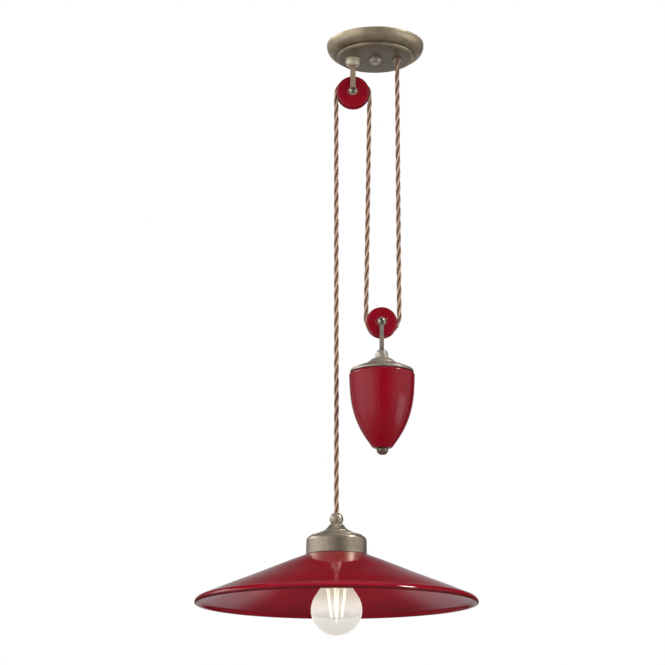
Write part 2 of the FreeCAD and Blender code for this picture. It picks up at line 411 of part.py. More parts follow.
bend = 9.4
bend_z = TAIL_Z - bend
p0, p1 = V(OUT_X, 0, OUT_Z), V(OUT_X, 0, bend_z)
mid = V(OUT_X, -bend * (1 - math.cos(math.pi / 4)), bend_z + bend * math.sin(math.pi / 4))
p2, p3 = V(OUT_X, -bend, TAIL_Z), V(OUT_X, TB_Y1, TAIL_Z)
path = Part.Wire([Part.LineSegment(p0, p1).toShape(), Part.Arc(p1, mid, p2).toShape(), Part.LineSegment(p2, p3).toShape()])
disc = Part.Wire(Part.Circle(p0, V(0, 0, 1), FLEX_R).toShape())
tail = path.makePipeShell([disc], True, False)
cord("flex_supply_tail", tail, path.Length)

# common tangent: passes the upper sheave's inner side and the lower sheave's left side
dx, dz = LO_X - UP_X, LO_Z - UP_Z
reach = UP_RUN_R + LO_RUN_L
tilt = 0.0
for _ in range(60):
    tilt = math.asin((dx * math.cos(tilt) - reach) / -dz)


def unit(deg):
    return V(math.cos(math.radians(deg)), 0, math.sin(math.radians(deg)))


def wrap(x, z, groove_r, spread, end_a, end_b):
    """Flex lying in a groove from end_a to end_b, each (angle of the run's normal, distance of the run).
    An arc in the groove, and at each end an easing arc of `spread` degrees out to the run.  Angles grow from end_a to end_b."""
    o = V(x, 0, z)
    (ang_a, run_a), (ang_b, run_b) = end_a, end_b
    parts, ends = [], []
    for ang, run, sign in ((ang_a, run_a, 1), (ang_b, run_b, -1)):
        c = math.cos(math.radians(spread))
        rho = (run - groove_r * c) / (1 - c)
        mid_deg = ang + sign * spread
        centre = o - unit(mid_deg) * (rho - groove_r)
        ends.append(centre + unit(ang) * rho)
        parts.append(Part.Arc(centre + unit(ang) * rho, centre + unit(ang + sign * spread / 2) * rho, centre + unit(mid_deg) * rho).toShape())
        print("easing radius %.2f mm, run starts at (%.3f, %.3f)" % (rho, ends[-1].x, ends[-1].z))
    a0, a1 = ang_a + spread, ang_b - spread
    bow = Part.Arc(o + unit(a0) * groove_r, o + unit((a0 + a1) / 2) * groove_r, o + unit(a1) * groove_r).toShape()
    path = Part.Wire([parts[0], bow, parts[1].reversed()])
    heading = V(-math.sin(math.radians(ang_a)), 0, math.cos(math.radians(ang_a)))
    disc = Part.Wire(Part.Circle(ends[0], heading, FLEX_R).toShape())
    solid = path.makePipeShell([disc], True, False)
    return solid, path.Length, ends[0], ends[1]


tilt_deg = math.degrees(tilt)
lower_loop, lower_len, LO_TAN, OUT_TAN = wrap(LO_X, LO_Z, LO_CORD_R, LO_SPREAD, (180.0 + tilt_deg, LO_RUN_L), (360.0, LO_RUN_R))
upper_loop, upper_len, UP_TAN, LAMP_TAN = wrap(UP_X, UP_Z, UP_CORD_R, UP_SPREAD, (tilt_deg, UP_RUN_R), (180.0, UP_RUN_L))

cord("flex_ceiling_run", straight_tube((OUT_X, 0, OUT_Z), tuple(OUT_TAN), FLEX_R), OUT_Z - OUT_TAN.z)
cord("flex_lower_loop", lower_loop, lower_len)
cord("flex_middle_run", straight_tube(tuple(LO_TAN), tuple(UP_TAN), FLEX_R), (UP_TAN - LO_TAN).Length)
cord("flex_upper_loop", upper_loop, upper_len)
cord("flex_lamp_run", straight_tube(tuple(LAMP_TAN), (LAMP_X, 0, GRIP_TOP_Z), FLEX_R), LAMP_TAN.z - GRIP_TOP_Z)
cord("flex_lamp_tail", straight_tube((LAMP_X, 0, GRIP_TOP_Z), (LAMP_X, 0, -790.2), FLEX_R), 790.2 + GRIP_TOP_Z)
print("radii: tail %.1f, lower groove %.1f, upper groove %.1f; slant %.2f degrees" % (bend, LO_CORD_R, UP_CORD_R, tilt_deg))
print("ends: middle run (%.3f, %.3f) to (%.3f, %.3f), ceiling run ends %.3f, lamp run starts %.3f" % (LO_TAN.x, LO_TAN.z, UP_TAN.x, UP_TAN.z, OUT_TAN.z, LAMP_TAN.z))
print("whole flex %.1f mm, %d nodes" % (total, len(NODES)))

# balance of the lamp against twice the travel of the counterweight
DENSITY = {"shade": 2300, "weight_shell": 2300, "weight_ballast": 7200, "bulb_glass": 2500, "lampholder_base": 2300, "terminal_block": 1100, "cord_anchor": 1100,
           "upper_pulley": 2300, "lower_pulley": 2300, "bulb_stem": 2500, "bulb_insulator": 1100, "weight_gasket": 1200, "shade_gasket": 300, "weight_rod": 7850, "weight_rod_nut": 7850}
LAMP = ["cord_grip", "grip_screw", "fitter_cap", "fitter_nipple", "nipple_nut", "lampholder_dome", "lampholder_base", "lampholder_shell", "lampholder_thread", "lampholder_tongue",
        "shade", "shade_gasket", "shade_ring", "bulb_contact", "bulb_insulator", "bulb_cap", "bulb_glass", "bulb_stem"]
WEIGHT = ["lower_pulley", "lower_bush", "lower_axle", "lower_axle_nut", "lower_washers", "lower_fork", "lower_fork_ferrule", "weight_cap", "weight_gasket", "weight_shell",
          "weight_ballast", "weight_rod", "weight_rod_nut", "weight_finial"]


def mass(names):
    return sum(NODES[n].Volume * 1e-9 * DENSITY.get(n, 8500) for n in names)


print("lamp %.3f kg (shade %.3f), counterweight %.3f kg (slug %.3f)" % (mass(LAMP), mass(["shade"]), mass(WEIGHT), mass(["weight_ballast"])))
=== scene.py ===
import math

import bmesh
import bpy
import numpy as np
from mathutils import Matrix, Vector


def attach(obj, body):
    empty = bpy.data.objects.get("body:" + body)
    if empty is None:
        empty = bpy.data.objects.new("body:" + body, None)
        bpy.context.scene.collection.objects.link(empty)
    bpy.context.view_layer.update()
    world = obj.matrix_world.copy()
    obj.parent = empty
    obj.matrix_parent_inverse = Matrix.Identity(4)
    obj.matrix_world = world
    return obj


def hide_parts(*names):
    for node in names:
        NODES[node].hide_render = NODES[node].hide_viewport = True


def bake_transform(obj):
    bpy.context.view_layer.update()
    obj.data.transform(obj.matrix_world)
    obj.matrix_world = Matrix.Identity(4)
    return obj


# Looks of the rise and fall pendant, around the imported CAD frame.  Metres.
# Profiles below are written in millimetres, as (radius, height), and turned.

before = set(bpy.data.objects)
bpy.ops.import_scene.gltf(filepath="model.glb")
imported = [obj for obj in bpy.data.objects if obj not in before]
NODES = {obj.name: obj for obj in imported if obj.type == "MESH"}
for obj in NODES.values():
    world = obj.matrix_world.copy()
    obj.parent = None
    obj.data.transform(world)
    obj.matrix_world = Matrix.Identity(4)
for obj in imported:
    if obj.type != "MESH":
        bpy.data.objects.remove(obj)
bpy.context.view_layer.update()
scene = bpy.context.scene
scene.view_settings.view_transform = "Standard"
scene.view_settings.look = "None"

MM = 0.001
UP_X, UP_Z = -35.7, -80.6
LO_X, LO_Z = 7.3, -456.2
LAMP_X, OUT_X = -62.0, 34.5

# ------------------------------------------------------------------- camera
cam_data = bpy.data.cameras.new("camera")
cam = bpy.data.objects.new("camera", cam_data)
scene.collection.objects.link(cam)
cam_data.sensor_width = 36.0
cam_data.lens = 104.90
cam_data.clip_start = 0.05
cam_data.clip_end = 60
cam.location = (-0.067994, -2.87634, -1.20222)
cam.rotation_euler = (math.radians(90 + 14.258), 0, 0)
scene.camera = cam


# ============================================================ node shorthand
class Mat:
    """A small helper for building a material's nodes."""

    def __init__(self, name):
        self.mat = bpy.data.materials.new(name)
        self.mat.use_nodes = True
        self.nt = self.mat.node_tree
        self.nt.nodes.clear()
        self.out = self.nt.nodes.new("ShaderNodeOutputMaterial")
        self.bsdf = self.nt.nodes.new("ShaderNodeBsdfPrincipled")
        self.link(self.bsdf.outputs[0], self.out.inputs[0])
        self.coord = self.nt.nodes.new("ShaderNodeTexCoord").outputs["Object"]

    def link(self, a, b):
        self.nt.links.new(a, b)

    def node(self, kind, **props):
        n = self.nt.nodes.new(kind)
        for k, v in props.items():
            setattr(n, k, v)
        return n

    def set(self, **values):
        for k, v in values.items():
            self.bsdf.inputs[k.replace("_", " ")].default_value = v

    def math(self, op, a, b=None, c=None, clamp=False):
        n = self.node("ShaderNodeMath", operation=op, use_clamp=clamp)
        for i, v in enumerate((a, b, c)):
            if v is None:
                continue
            if isinstance(v, (int, float)):
                n.inputs[i].default_value = v
            else:
                self.link(v, n.inputs[i])
        return n.outputs[0]

    def scaled(self, v, scale, offset=(0, 0, 0)):
        n = self.node("ShaderNodeMapping")
        self.link(v, n.inputs["Vector"])
        n.inputs["Scale"].default_value = scale
        n.inputs["Location"].default_value = offset
        return n.outputs[0]

    def noise(self, scale, detail=4.0, rough=0.55, vec=None, distortion=0.0):
        n = self.node("ShaderNodeTexNoise")
        self.link(vec or self.coord, n.inputs["Vector"])
        n.inputs["Scale"].default_value = scale
        n.inputs["Detail"].default_value = detail
        n.inputs["Roughness"].default_value = rough
        n.inputs["Distortion"].default_value = distortion
        return n.outputs["Fac"]

    def voronoi(self, scale, vec=None, feature="F1"):
        n = self.node("ShaderNodeTexVoronoi", feature=feature)
        self.link(vec or self.coord, n.inputs["Vector"])
        n.inputs["Scale"].default_value = scale
        return n.outputs["Distance"]

    def ramp(self, fac, stops, interp="LINEAR"):
        n = self.node("ShaderNodeValToRGB")
        n.color_ramp.interpolation = interp
        e = n.color_ramp.elements
        while len(e) < len(stops):
            e.new(0.5)
        for i, (p, c) in enumerate(stops):
            e[i].position = p
            if isinstance(c, (int, float)):
                c = (c, c, c)
            e[i].color = (*c, 1)
        self.link(fac, n.inputs[0])
        return n.outputs[0]

    def map(self, fac, lo, hi, a, b):
        n = self.node("ShaderNodeMapRange")
        self.link(fac, n.inputs[0])
        for i, v in enumerate((lo, hi, a, b)):
            n.inputs[i + 1].default_value = v
        return n.outputs[0]

    def mix(self, fac, a, b, mode="MIX"):
        n = self.node("ShaderNodeMix", data_type="RGBA", blend_type=mode)
        for i, v in zip((0, 6, 7), (fac, a, b)):
            if isinstance(v, (int, float)):
                n.inputs[i].default_value = v
            elif isinstance(v, tuple):
                n.inputs[i].default_value = (*v, 1)
            else:
                self.link(v, n.inputs[i])
        return n.outputs[2]

    def bump(self, height, strength, distance, normal=None):
        n = self.node("ShaderNodeBump")
        n.inputs["Strength"].default_value = strength
        n.inputs["Distance"].default_value = distance
        self.link(height, n.inputs["Height"])
        if normal is not None:
            self.link(normal, n.inputs["Normal"])
        return n.outputs[0]

    def to(self, value, socket):
        self.link(value, self.bsdf.inputs[socket])


def radial(m, cx, cz=None):
    """Distance from a vertical line at x = cx, or from a Y line at (cx, cz), in metres."""
    sep = m.node("ShaderNodeSeparateXYZ")
    m.link(m.coord, sep.inputs[0])
    x = m.math("SUBTRACT", sep.outputs[0], cx)
    other = sep.outputs[1] if cz is None else m.math("SUBTRACT", sep.outputs[2], cz)
    return m.math("SQRT", m.math("ADD", m.math("MULTIPLY", x, x), m.math("MULTIPLY", other, other))), sep


def turned_rings(m, r, h, scale):
    """Noise that only varies with radius and height: the fine rings of a spun or turned surface."""
    c = m.node("ShaderNodeCombineXYZ")
    m.link(r, c.inputs[0])
    m.link(h, c.inputs[2])
    return m.noise(scale, detail=3.0, rough=0.7, vec=c.outputs[0])


# ================================================================= materials
def glaze(name, cx, cz=None, deep=(0.205, 0.0024, 0.0095), light=(0.275, 0.0036, 0.0135), rim=None):
    m = Mat(name)
    cloud = m.noise(14.0, detail=3.0)
    fine = m.noise(90.0, detail=3.0, rough=0.6)
    speck = m.voronoi(420.0)
    col = m.mix(m.map(cloud, 0.3, 0.7, 0.0, 1.0), deep, light)
    col = m.mix(m.map(fine, 0.35, 0.75, 0.0, 0.20), col, (0.160, 0.0020, 0.0070))
    col = m.mix(m.math("MULTIPLY", m.math("LESS_THAN", speck, 0.040), 0.30), col, (0.10, 0.004, 0.006))
    if rim:
        # painted shade: a dark band is painted along the lip's outer edge, and the coat is turned down there
        r, sep = radial(m, cx, cz)
        edge = m.math("MULTIPLY", m.map(sep.outputs[2], rim[0], rim[1], 0.0, 1.0), m.map(r, 0.2072, 0.2080, 0.0, 1.0))
        painted_lip_shade = m.math("MULTIPLY", edge, m.map(fine, 0.3, 0.7, 0.85, 1.15), clamp=True)
        # painted light: the underside is lightened towards the bulb, standing in for the bulb's light on the inside
        slope = m.math("ADD", sep.outputs[2], m.math("MULTIPLY", r, 0.4033))
        painted_bulb_light = m.math("MULTIPLY", m.map(slope, -0.7955, -0.7985, 0.0, 1.0), m.map(r, 0.150, 0.200, 1.0, 0.15))
        col = m.mix(painted_bulb_light, col, (1.75, 2.1, 1.8), "MULTIPLY")
        # painted shade on the lip's outer edge, with less coat there
        col = m.mix(painted_lip_shade, col, (0.115, 0.009, 0.011))
        m.to(m.map(painted_lip_shade, 0.0, 1.0, 1.0, 0.15), "Coat Weight")
    m.to(col, "Base Color")
    m.to(m.map(fine, 0.2, 0.8, 0.40, 0.50), "Roughness")
    m.set(IOR=1.5)
    m.bsdf.inputs["Specular IOR Level"].default_value = 0.0
    m.bsdf.inputs["Coat Weight"].default_value = 1.0
    m.bsdf.inputs["Coat Roughness"].default_value = 0.06
    m.bsdf.inputs["Coat IOR"].default_value = 1.5
    wave = m.noise(30.0, detail=1.5, rough=0.4)
    peel = m.noise(240.0, detail=2.0)
    n = m.bump(wave, 0.20, 0.0006)
    n = m.bump(peel, 0.05, 0.00005, n)
    m.to(n, "Normal")
    m.link(n, m.bsdf.inputs["Coat Normal"])
    return m.mat


def brass(name, cx, cz=None, dark=(0.330, 0.262, 0.175), mid=(0.475, 0.388, 0.270), light=(0.640, 0.545, 0.400), rough=(0.30, 0.44), rings=1.0, metal=0.84, face=None, painted_step_shade=None):
    m = Mat(name)
    r, sep = radial(m, cx, cz)
    h = sep.outputs[2] if cz is None else sep.outputs[1]
    ring = turned_rings(m, r, h, 900.0)
    broad = turned_rings(m, r, h, 140.0)
    patch = m.noise(34.0, detail=6.0, rough=0.62, distortion=0.35)
    grime = m.noise(130.0, detail=5.0, rough=0.7)
    fac = m.math("ADD", m.math("MULTIPLY", patch, 0.62), m.math("ADD", m.math("MULTIPLY", ring, 0.20), m.math("MULTIPLY", grime, 0.18)))
    col = m.ramp(fac, [(0.34, dark), (0.50, mid), (0.68, light)])
    col = m.mix(m.map(m.noise(9.0, detail=2.0), 0.42, 0.66, 0.0, 0.30), col, (0.36, 0.280, 0.215))
    if face:
        # painted shade: the flat face is darkened against the side
        col = m.mix(m.map(r, face[0], face[1], face[2], 0.0), col, (0.0, 0.0, 0.0))
    if painted_step_shade:
        # and painted shade darkens the step outside the bead
        near = m.math("MULTIPLY", m.map(r, painted_step_shade[0], painted_step_shade[0] + 0.0012, 0.0, 1.0), m.map(r, painted_step_shade[0] + 0.0016, painted_step_shade[1], 1.0, 0.0))
        col = m.mix(m.math("MULTIPLY", near, painted_step_shade[2]), col, (0.02, 0.015, 0.010))
    m.to(col, "Base Color")
    m.set(Metallic=metal)
    m.bsdf.inputs["Specular IOR Level"].default_value = 0.2
    m.to(m.map(m.math("ADD", m.math("MULTIPLY", grime, 0.6), m.math("MULTIPLY", patch, 0.4)), 0.30, 0.70, rough[0], rough[1]), "Roughness")
    n = m.bump(ring, 0.16 * rings, 0.00025)
    n = m.bump(broad, 0.10 * rings, 0.0005, n)
    n = m.bump(grime, 0.10, 0.00015, n)
    m.to(n, "Normal")
    return m.mat


def plain_metal(name, tone, second, rough=(0.22, 0.40), scale=260.0, metal=1.0):
    m = Mat(name)
    a = m.noise(scale, detail=5.0, rough=0.65)
    b = m.noise(scale * 0.15, detail=3.0)
    m.to(m.mix(m.map(m.math("ADD", m.math("MULTIPLY", a, 0.5), m.math("MULTIPLY", b, 0.5)), 0.38, 0.62, 0.0, 1.0), tone, second), "Base Color")
    m.set(Metallic=metal)
    m.to(m.map(a, 0.3, 0.7, rough[0], rough[1]), "Roughness")
    scratch = m.noise(scale, detail=3.0, vec=m.scaled(m.coord, (1.0, 1.0, 9.0)))
    m.to(m.bump(scratch, 0.12, 0.0001), "Normal")
    return m.mat


def moulded(name, tone, second, rough=0.45, grain=900.0, depth=0.00004, **more):
    m = Mat(name)
    a = m.noise(grain, detail=3.0)
    b = m.noise(60.0, detail=3.0)
    m.to(m.mix(m.map(b, 0.35, 0.65, 0.0, 1.0), tone, second), "Base Color")
    m.to(m.map(a, 0.3, 0.7, rough - 0.06, rough + 0.08), "Roughness")
    for k, v in more.items():
        m.bsdf.inputs[k.replace("_", " ")].default_value = v
    m.to(m.bump(a, 0.3, depth), "Normal")
    return m.mat


def felt_mat():
    m = Mat("felt_ring")
    a = m.noise(1400.0, detail=4.0, rough=0.7)
    m.to(m.mix(a, (0.018, 0.014, 0.012), (0.060, 0.048, 0.040)), "Base Color")
    m.set(Roughness=0.95)
    m.bsdf.inputs["Sheen Weight"].default_value = 0.3
    m.to(m.bump(a, 0.6, 0.0003), "Normal")
    return m.mat


def textile():
    """Woven sleeve of the twisted flex: rose-beige threads, with painted shade in the weave's hollows and in the twist.
    Uses the strands' own UV, in metres.
    """
    m = Mat("woven_flex")
    uv = m.node("ShaderNodeUVMap", uv_map="weave").outputs[0]
    sep = m.node("ShaderNodeSeparateXYZ")
    m.link(uv, sep.inputs[0])
    u, v = sep.outputs[0], sep.outputs[1]          # u: metres round a strand, v: metres along it
    k = 2 * math.pi
    braid = 0.00100
    a = m.math("SINE", m.math("MULTIPLY", m.math("ADD", u, v), k / braid))
    b = m.math("SINE", m.math("MULTIPLY", m.math("SUBTRACT", u, v), k / braid))
    weave = m.math("MAXIMUM", a, b)
    height = m.math("MULTIPLY_ADD", weave, 0.5, 0.5)
    thread = m.noise(2600.0, detail=2.0, vec=m.scaled(uv, (1.0, 0.25, 1.0)))
    tone = m.noise(120.0, detail=3.0)
    depth = m.node("ShaderNodeAttribute", attribute_name="outward").outputs["Fac"]
    base = m.mix(m.map(tone, 0.35, 0.65, 0.0, 1.0), (0.455, 0.268, 0.176), (0.560, 0.352, 0.242))
    base = m.mix(m.map(thread, 0.35, 0.7, 0.0, 0.35), base, (0.70, 0.50, 0.38))
    # painted shade: the weave's hollows and the side of each strand turned into the twist are darkened
    base = m.mix(m.map(height, 0.15, 0.95, 0.55, 0.0), base, (0.115, 0.052, 0.026))
    base = m.mix(m.map(depth, 0.36, 0.95, 0.94, 0.0), base, (0.036, 0.014, 0.007))
    m.to(base, "Base Color")
    m.set(Roughness=0.62)
    m.bsdf.inputs["Sheen Weight"].default_value = 0.25
    m.bsdf.inputs["Sheen Roughness"].default_value = 0.4
    n = m.bump(height, 0.5, 0.00022)
    n = m.bump(thread, 0.3, 0.00008, n)
    m.to(n, "Normal")
    return m.mat


def glass(name, tint=(1.0, 1.0, 1.0), second=(0.985, 0.985, 0.975), rough=0.0, glow=0.0):
    m = Mat(name)
    m.set(Roughness=rough, IOR=1.46)
    m.bsdf.inputs["Transmission Weight"].default_value = 1.0
    faint = m.noise(30.0, detail=2.0)
    m.to(m.mix(m.map(faint, 0.3, 0.7, 0.0, 1.0), tint, second), "Base Color")
    if glow:
        # haze of light from the filaments, strongest round them
        height = radial(m, 0.0)[1].outputs[2]
        up = m.map(height, -0.934, -0.862, 0.0, 1.0)
        level = m.ramp(up, [(0.0, 0.72), (0.26, 0.78), (0.42, 0.84), (0.55, 1.12), (0.67, 1.10), (0.80, 0.86), (1.0, 0.74)])
        near = m.math("MULTIPLY", level, m.map(faint, 0.3, 0.7, 0.95, 1.05))
        warm = m.mix(m.map(height, -0.888, -0.872, 0.0, 1.0), (1.0, 0.950, 0.880), (1.0, 0.905, 0.740))
        m.to(m.mix(m.map(faint, 0.3, 0.7, 0.0, 0.3), warm, (1.0, 0.955, 0.885)), "Emission Color")
        m.to(m.math("MULTIPLY", near, glow), "Emission Strength")
    m.to(m.bump(m.noise(22.0, detail=1.0), 0.05, 0.0004), "Normal")
    return m.mat


def glowing():
    m = Mat("glowing_filament")
    a = m.noise(900.0, detail=2.0)
    m.to(m.mix(a, (1.0, 0.62, 0.20), (1.0, 0.80, 0.42)), "Base Color")
    m.set(Roughness=0.4)
    m.to(m.mix(a, (1.0, 0.90, 0.58), (1.0, 0.95, 0.72)), "Emission Color")
    m.bsdf.inputs["Emission Strength"].default_value = 2.2
    m.to(m.bump(m.noise(1800.0), 0.4, 0.0001), "Normal")
    return m.mat


# ============================================================ turned profiles
def arc_points(p, q, r, step=0.6):
    """Points after p along the circle through p, q, r, ending at r."""
    ax, ay, bx, by, cx, cy = *p, *q, *r
    d = 2 * (ax * (by - cy) + bx * (cy - ay) + cx * (ay - by))
    if abs(d) < 1e-9:
        return [q, r]
    ux = ((ax * ax + ay * ay) * (by - cy) + (bx * bx + by * by) * (cy - ay) + (cx * cx + cy * cy) * (ay - by)) / d
    uy = ((ax * ax + ay * ay) * (cx - bx) + (bx * bx + by * by) * (ax - cx) + (cx * cx + cy * cy) * (bx - ax)) / d
    rad = math.hypot(ax - ux, ay - uy)
    a0, a1, a2 = (math.atan2(y - uy, x - ux) for x, y in (p, q, r))
    turn = 2 * math.pi
    ccw = ((a1 - a0) % turn) < ((a2 - a0) % turn)
    sweep = (a2 - a0) % turn if ccw else -((a0 - a2) % turn)
    n = max(3, int(math.ceil(abs(sweep) * max(rad / step, 4.5))))
    n = min(n, 64)
    return [(ux + rad * math.cos(a0 + sweep * i / n), uy + rad * math.sin(a0 + sweep * i / n)) for i in range(1, n)] + [r]


def smooth_points(pts, per=5):
    """Catmull-Rom through pts, without the first point."""
    out = []
    for i in range(len(pts) - 1):
        p0 = pts[i - 1] if i else (2 * pts[0][0] - pts[1][0], 2 * pts[0][1] - pts[1][1])
        p1, p2 = pts[i], pts[i + 1]
        p3 = pts[i + 2] if i + 2 < len(pts) else (2 * p2[0] - p1[0], 2 * p2[1] - p1[1])
        for k in range(1, per + 1):
            t = k / per
            out.append(tuple(0.5 * (2 * b + (c - a) * t + (2 * a - 5 * b + 4 * c - d) * t * t + (3 * b - a - 3 * c + d) * t ** 3) for a, b, c, d in zip(p0, p1, p2, p3)))
    return out


def profile(start, *steps, soft=0.3):
    """Closed outline as points, in mm: ("L", p), ("A", through, p) or ("S", p, p, ...).  soft rounds the sharp corners."""
    pts = [start]
    for step in steps:
        if step[0] == "L":
            pts.append(step[1])
        elif step[0] == "A":
            pts += arc_points(pts[-1], step[1], step[2])
        else:
            pts += smooth_points([pts[-1], *step[1:]])
    if math.dist(pts[0], pts[-1]) < 1e-6:
        pts.pop()
    out, n = [], len(pts)
    for i in range(n):
        a, b, c = pts[i - 1], pts[i], pts[(i + 1) % n]
        la, lc = math.dist(a, b), math.dist(b, c)
        turn = abs(math.remainder(math.atan2(c[1] - b[1], c[0] - b[0]) - math.atan2(b[1] - a[1], b[0] - a[0]), 2 * math.pi))
        cut = min(soft * math.tan(turn / 2) if turn < 2.6 else soft, 0.42 * la, 0.42 * lc)
        if turn < math.radians(24) or b[0] < 1e-6 or cut < 0.02:
            out.append(b)
            continue
        s = (b[0] + (a[0] - b[0]) * cut / la, b[1] + (a[1] - b[1]) * cut / la)
        e = (b[0] + (c[0] - b[0]) * cut / lc, b[1] + (c[1] - b[1]) * cut / lc)
        for k in range(5):
            t = k / 4
            out.append(tuple((1 - t) ** 2 * p + 2 * t * (1 - t) * q + t * t * r for p, q, r in zip(s, b, e)))
    return out


def finish_mesh(name, bm, mats, sharp=40.0):
    bmesh.ops.recalc_face_normals(bm, faces=bm.faces)
    me = bpy.data.meshes.new(name)
    bm.to_mesh(me)
    bm.free()
    me.shade_smooth()
    me.set_sharp_from_angle(angle=math.radians(sharp))
    for m in mats if isinstance(mats, (list, tuple)) else [mats]:
        me.materials.append(m)
    o = bpy.data.objects.new(name, me)
    scene.collection.objects.link(o)
    return o


def spin(bm, pts, place, seg):
    """Turns a closed outline; points at radius 0 become one vertex each."""
    rings = []
    for r, h in pts:
        if r < 1e-6:
            rings.append([bm.verts.new(place(0, 0, h))])
        else:
            rings.append([bm.verts.new(place(r * math.cos(2 * math.pi * i / seg), r * math.sin(2 * math.pi * i / seg), h)) for i in range(seg)])
    n = len(rings)
    for k in range(n):
        a, b = rings[k], rings[(k + 1) % n]
        if len(a) == 1 and len(b) == 1:
            continue
        for i in range(seg):
            j = (i + 1) % seg
            quad = [a[i % len(a)], a[j % len(a)], b[j % len(b)], b[i % len(b)]]
            seen = []
            for v in quad:
                if v not in seen:
                    seen.append(v)
            bm.faces.new(seen)


def lathe(name, pts, mat, body, cx=0.0, seg=128, nodes=(), y=None):
    """Solid turned about the vertical line at x = cx, or, with y = (cx, cz), about that Y line."""
    bm = bmesh.new()
    if y is None:
        spin(bm, pts, lambda a, b, h: Vector(((cx + a) * MM, b * MM, h * MM)), seg)
    else:
        spin(bm, pts, lambda a, b, h: Vector(((y[0] + a) * MM, h * MM, (y[1] + b) * MM)), seg)
    o = finish_mesh(name, bm, mat)
    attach(o, body)
    if nodes:
        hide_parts(*nodes)
    return o


def bore(o, at, radius, length, axis):
    """Cuts a round hole of this radius, in mm, through a made piece."""
    bm = bmesh.new()
    bmesh.ops.create_cone(bm, cap_ends=True, segments=48, radius1=radius * MM, radius2=radius * MM, depth=length * MM)
    turn = Matrix.Rotation(math.radians(90), 4, "X") if axis == "Y" else Matrix.Identity(4)
    bmesh.ops.transform(bm, matrix=Matrix.Translation(Vector(at) * MM) @ turn, verts=bm.verts)
    me = bpy.data.meshes.new("cutter")
    bm.to_mesh(me)
    bm.free()
    cutter = bpy.data.objects.new("cutter", me)
    scene.collection.objects.link(cutter)
    mod = o.modifiers.new("bore", "BOOLEAN")
    mod.operation, mod.solver, mod.object = "DIFFERENCE", "EXACT", cutter
    bpy.context.view_layer.update()
    made = bpy.data.meshes.new_from_object(o.evaluated_get(bpy.context.evaluated_depsgraph_get()))
    o.modifiers.remove(mod)
    old, o.data = o.data, made
    made.name = old.name + "_bored"
    bpy.data.objects.remove(cutter)
    made.shade_smooth()
    made.set_sharp_from_angle(angle=math.radians(40))


M = {}
# painted light: a lighter copy of the red glaze for the brighter lit shade; its rim adds the lip's painted shade and
# the bulb's painted light
M["glaze_shade"] = glaze("red_glaze_shade", LAMP_X * MM, deep=(0.235, 0.0026, 0.0110), light=(0.305, 0.0038, 0.0150), rim=(-0.8813, -0.8832))
M["glaze_weight"] = glaze("red_glaze_weight", LO_X * MM)
M["glaze_upper"] = glaze("red_glaze_upper", UP_X * MM, UP_Z * MM, deep=(0.190, 0.0030, 0.0100), light=(0.265, 0.0050, 0.0150))
M["glaze_lower"] = glaze("red_glaze_lower", LO_X * MM, LO_Z * MM, deep=(0.190, 0.0030, 0.0100), light=(0.265, 0.0050, 0.0150))
M["brass_plate"] = brass("aged_brass_plate", 0.0, dark=(0.350, 0.278, 0.176), mid=(0.530, 0.432, 0.285), light=(0.730, 0.612, 0.425), metal=0.74, face=(0.0556, 0.0568, 0.55), painted_step_shade=(0.0610, 0.0695, 0.62))
M["brass_lamp"] = brass("aged_brass_lamp", LAMP_X * MM, dark=(0.325, 0.265, 0.195), mid=(0.470, 0.395, 0.300), light=(0.640, 0.560, 0.440), metal=0.80)
M["brass_weight"] = brass("aged_brass_weight", LO_X * MM, dark=(0.345, 0.280, 0.222), mid=(0.500, 0.420, 0.340), light=(0.660, 0.570, 0.470), metal=0.74)
# painted light: a paler copy of the brass for the weight's cup
M["brass_cup"] = brass("weight_cup_brass_painted_light", LO_X * MM, dark=(0.44, 0.385, 0.32), mid=(0.60, 0.54, 0.465), light=(0.78, 0.72, 0.63), rough=(0.36, 0.44), metal=0.76)
# painted shade: a darker copy of the brass for the lower fork
M["brass_arm"] = brass("aged_brass_arm_painted_shade", LO_X * MM, dark=(0.26, 0.20, 0.165), mid=(0.35, 0.275, 0.235), light=(0.46, 0.375, 0.325), rings=0.5, metal=0.55)
# painted shade: a darker copy of the brass for the downward-facing end nut
M["brass_dark"] = brass("brass_end_painted_shade", LO_X * MM, dark=(0.150, 0.125, 0.098), mid=(0.235, 0.200, 0.160), light=(0.360, 0.315, 0.260), metal=0.80)
# painted light: a lighter copy of the brass for the upper fork
M["brass_upper"] = brass("aged_brass_upper_painted_light", UP_X * MM, dark=(0.52, 0.37, 0.24), mid=(0.70, 0.52, 0.36), light=(0.86, 0.69, 0.52), rings=0.5, metal=0.55)
M["brass_outlet"] = brass("aged_brass_outlet", OUT_X * MM, dark=(0.44, 0.30, 0.23), mid=(0.60, 0.44, 0.36), light=(0.76, 0.60, 0.51), rough=(0.16, 0.28), rings=0.4)
# painted light: a paler, brighter copy of the brass for the upper fork cup
M["bright"] = brass("bright_brass", UP_X * MM, dark=(0.70, 0.60, 0.42), mid=(0.88, 0.79, 0.60), light=(0.98, 0.92, 0.76), rough=(0.40, 0.48), rings=0.3, metal=0.55)
M["copper"] = brass("rosy_brass", 0.0, dark=(0.38, 0.30, 0.25), mid=(0.56, 0.47, 0.405), light=(0.74, 0.65, 0.575), rough=(0.20, 0.30), rings=0.2, metal=0.6)
M["bolt"] = plain_metal("polished_bolt", (0.46, 0.40, 0.32), (0.62, 0.55, 0.46), rough=(0.24, 0.34))
M["steel"] = plain_metal("zinc_steel", (0.50, 0.51, 0.52), (0.68, 0.69, 0.70), metal=0.7)
M["brass_bits"] = plain_metal("brass_fittings", (0.44, 0.34, 0.19), (0.66, 0.53, 0.31), metal=0.8)
M["nickel"] = plain_metal("nickel_cap", (0.55, 0.53, 0.49), (0.70, 0.68, 0.64), rough=(0.14, 0.28))
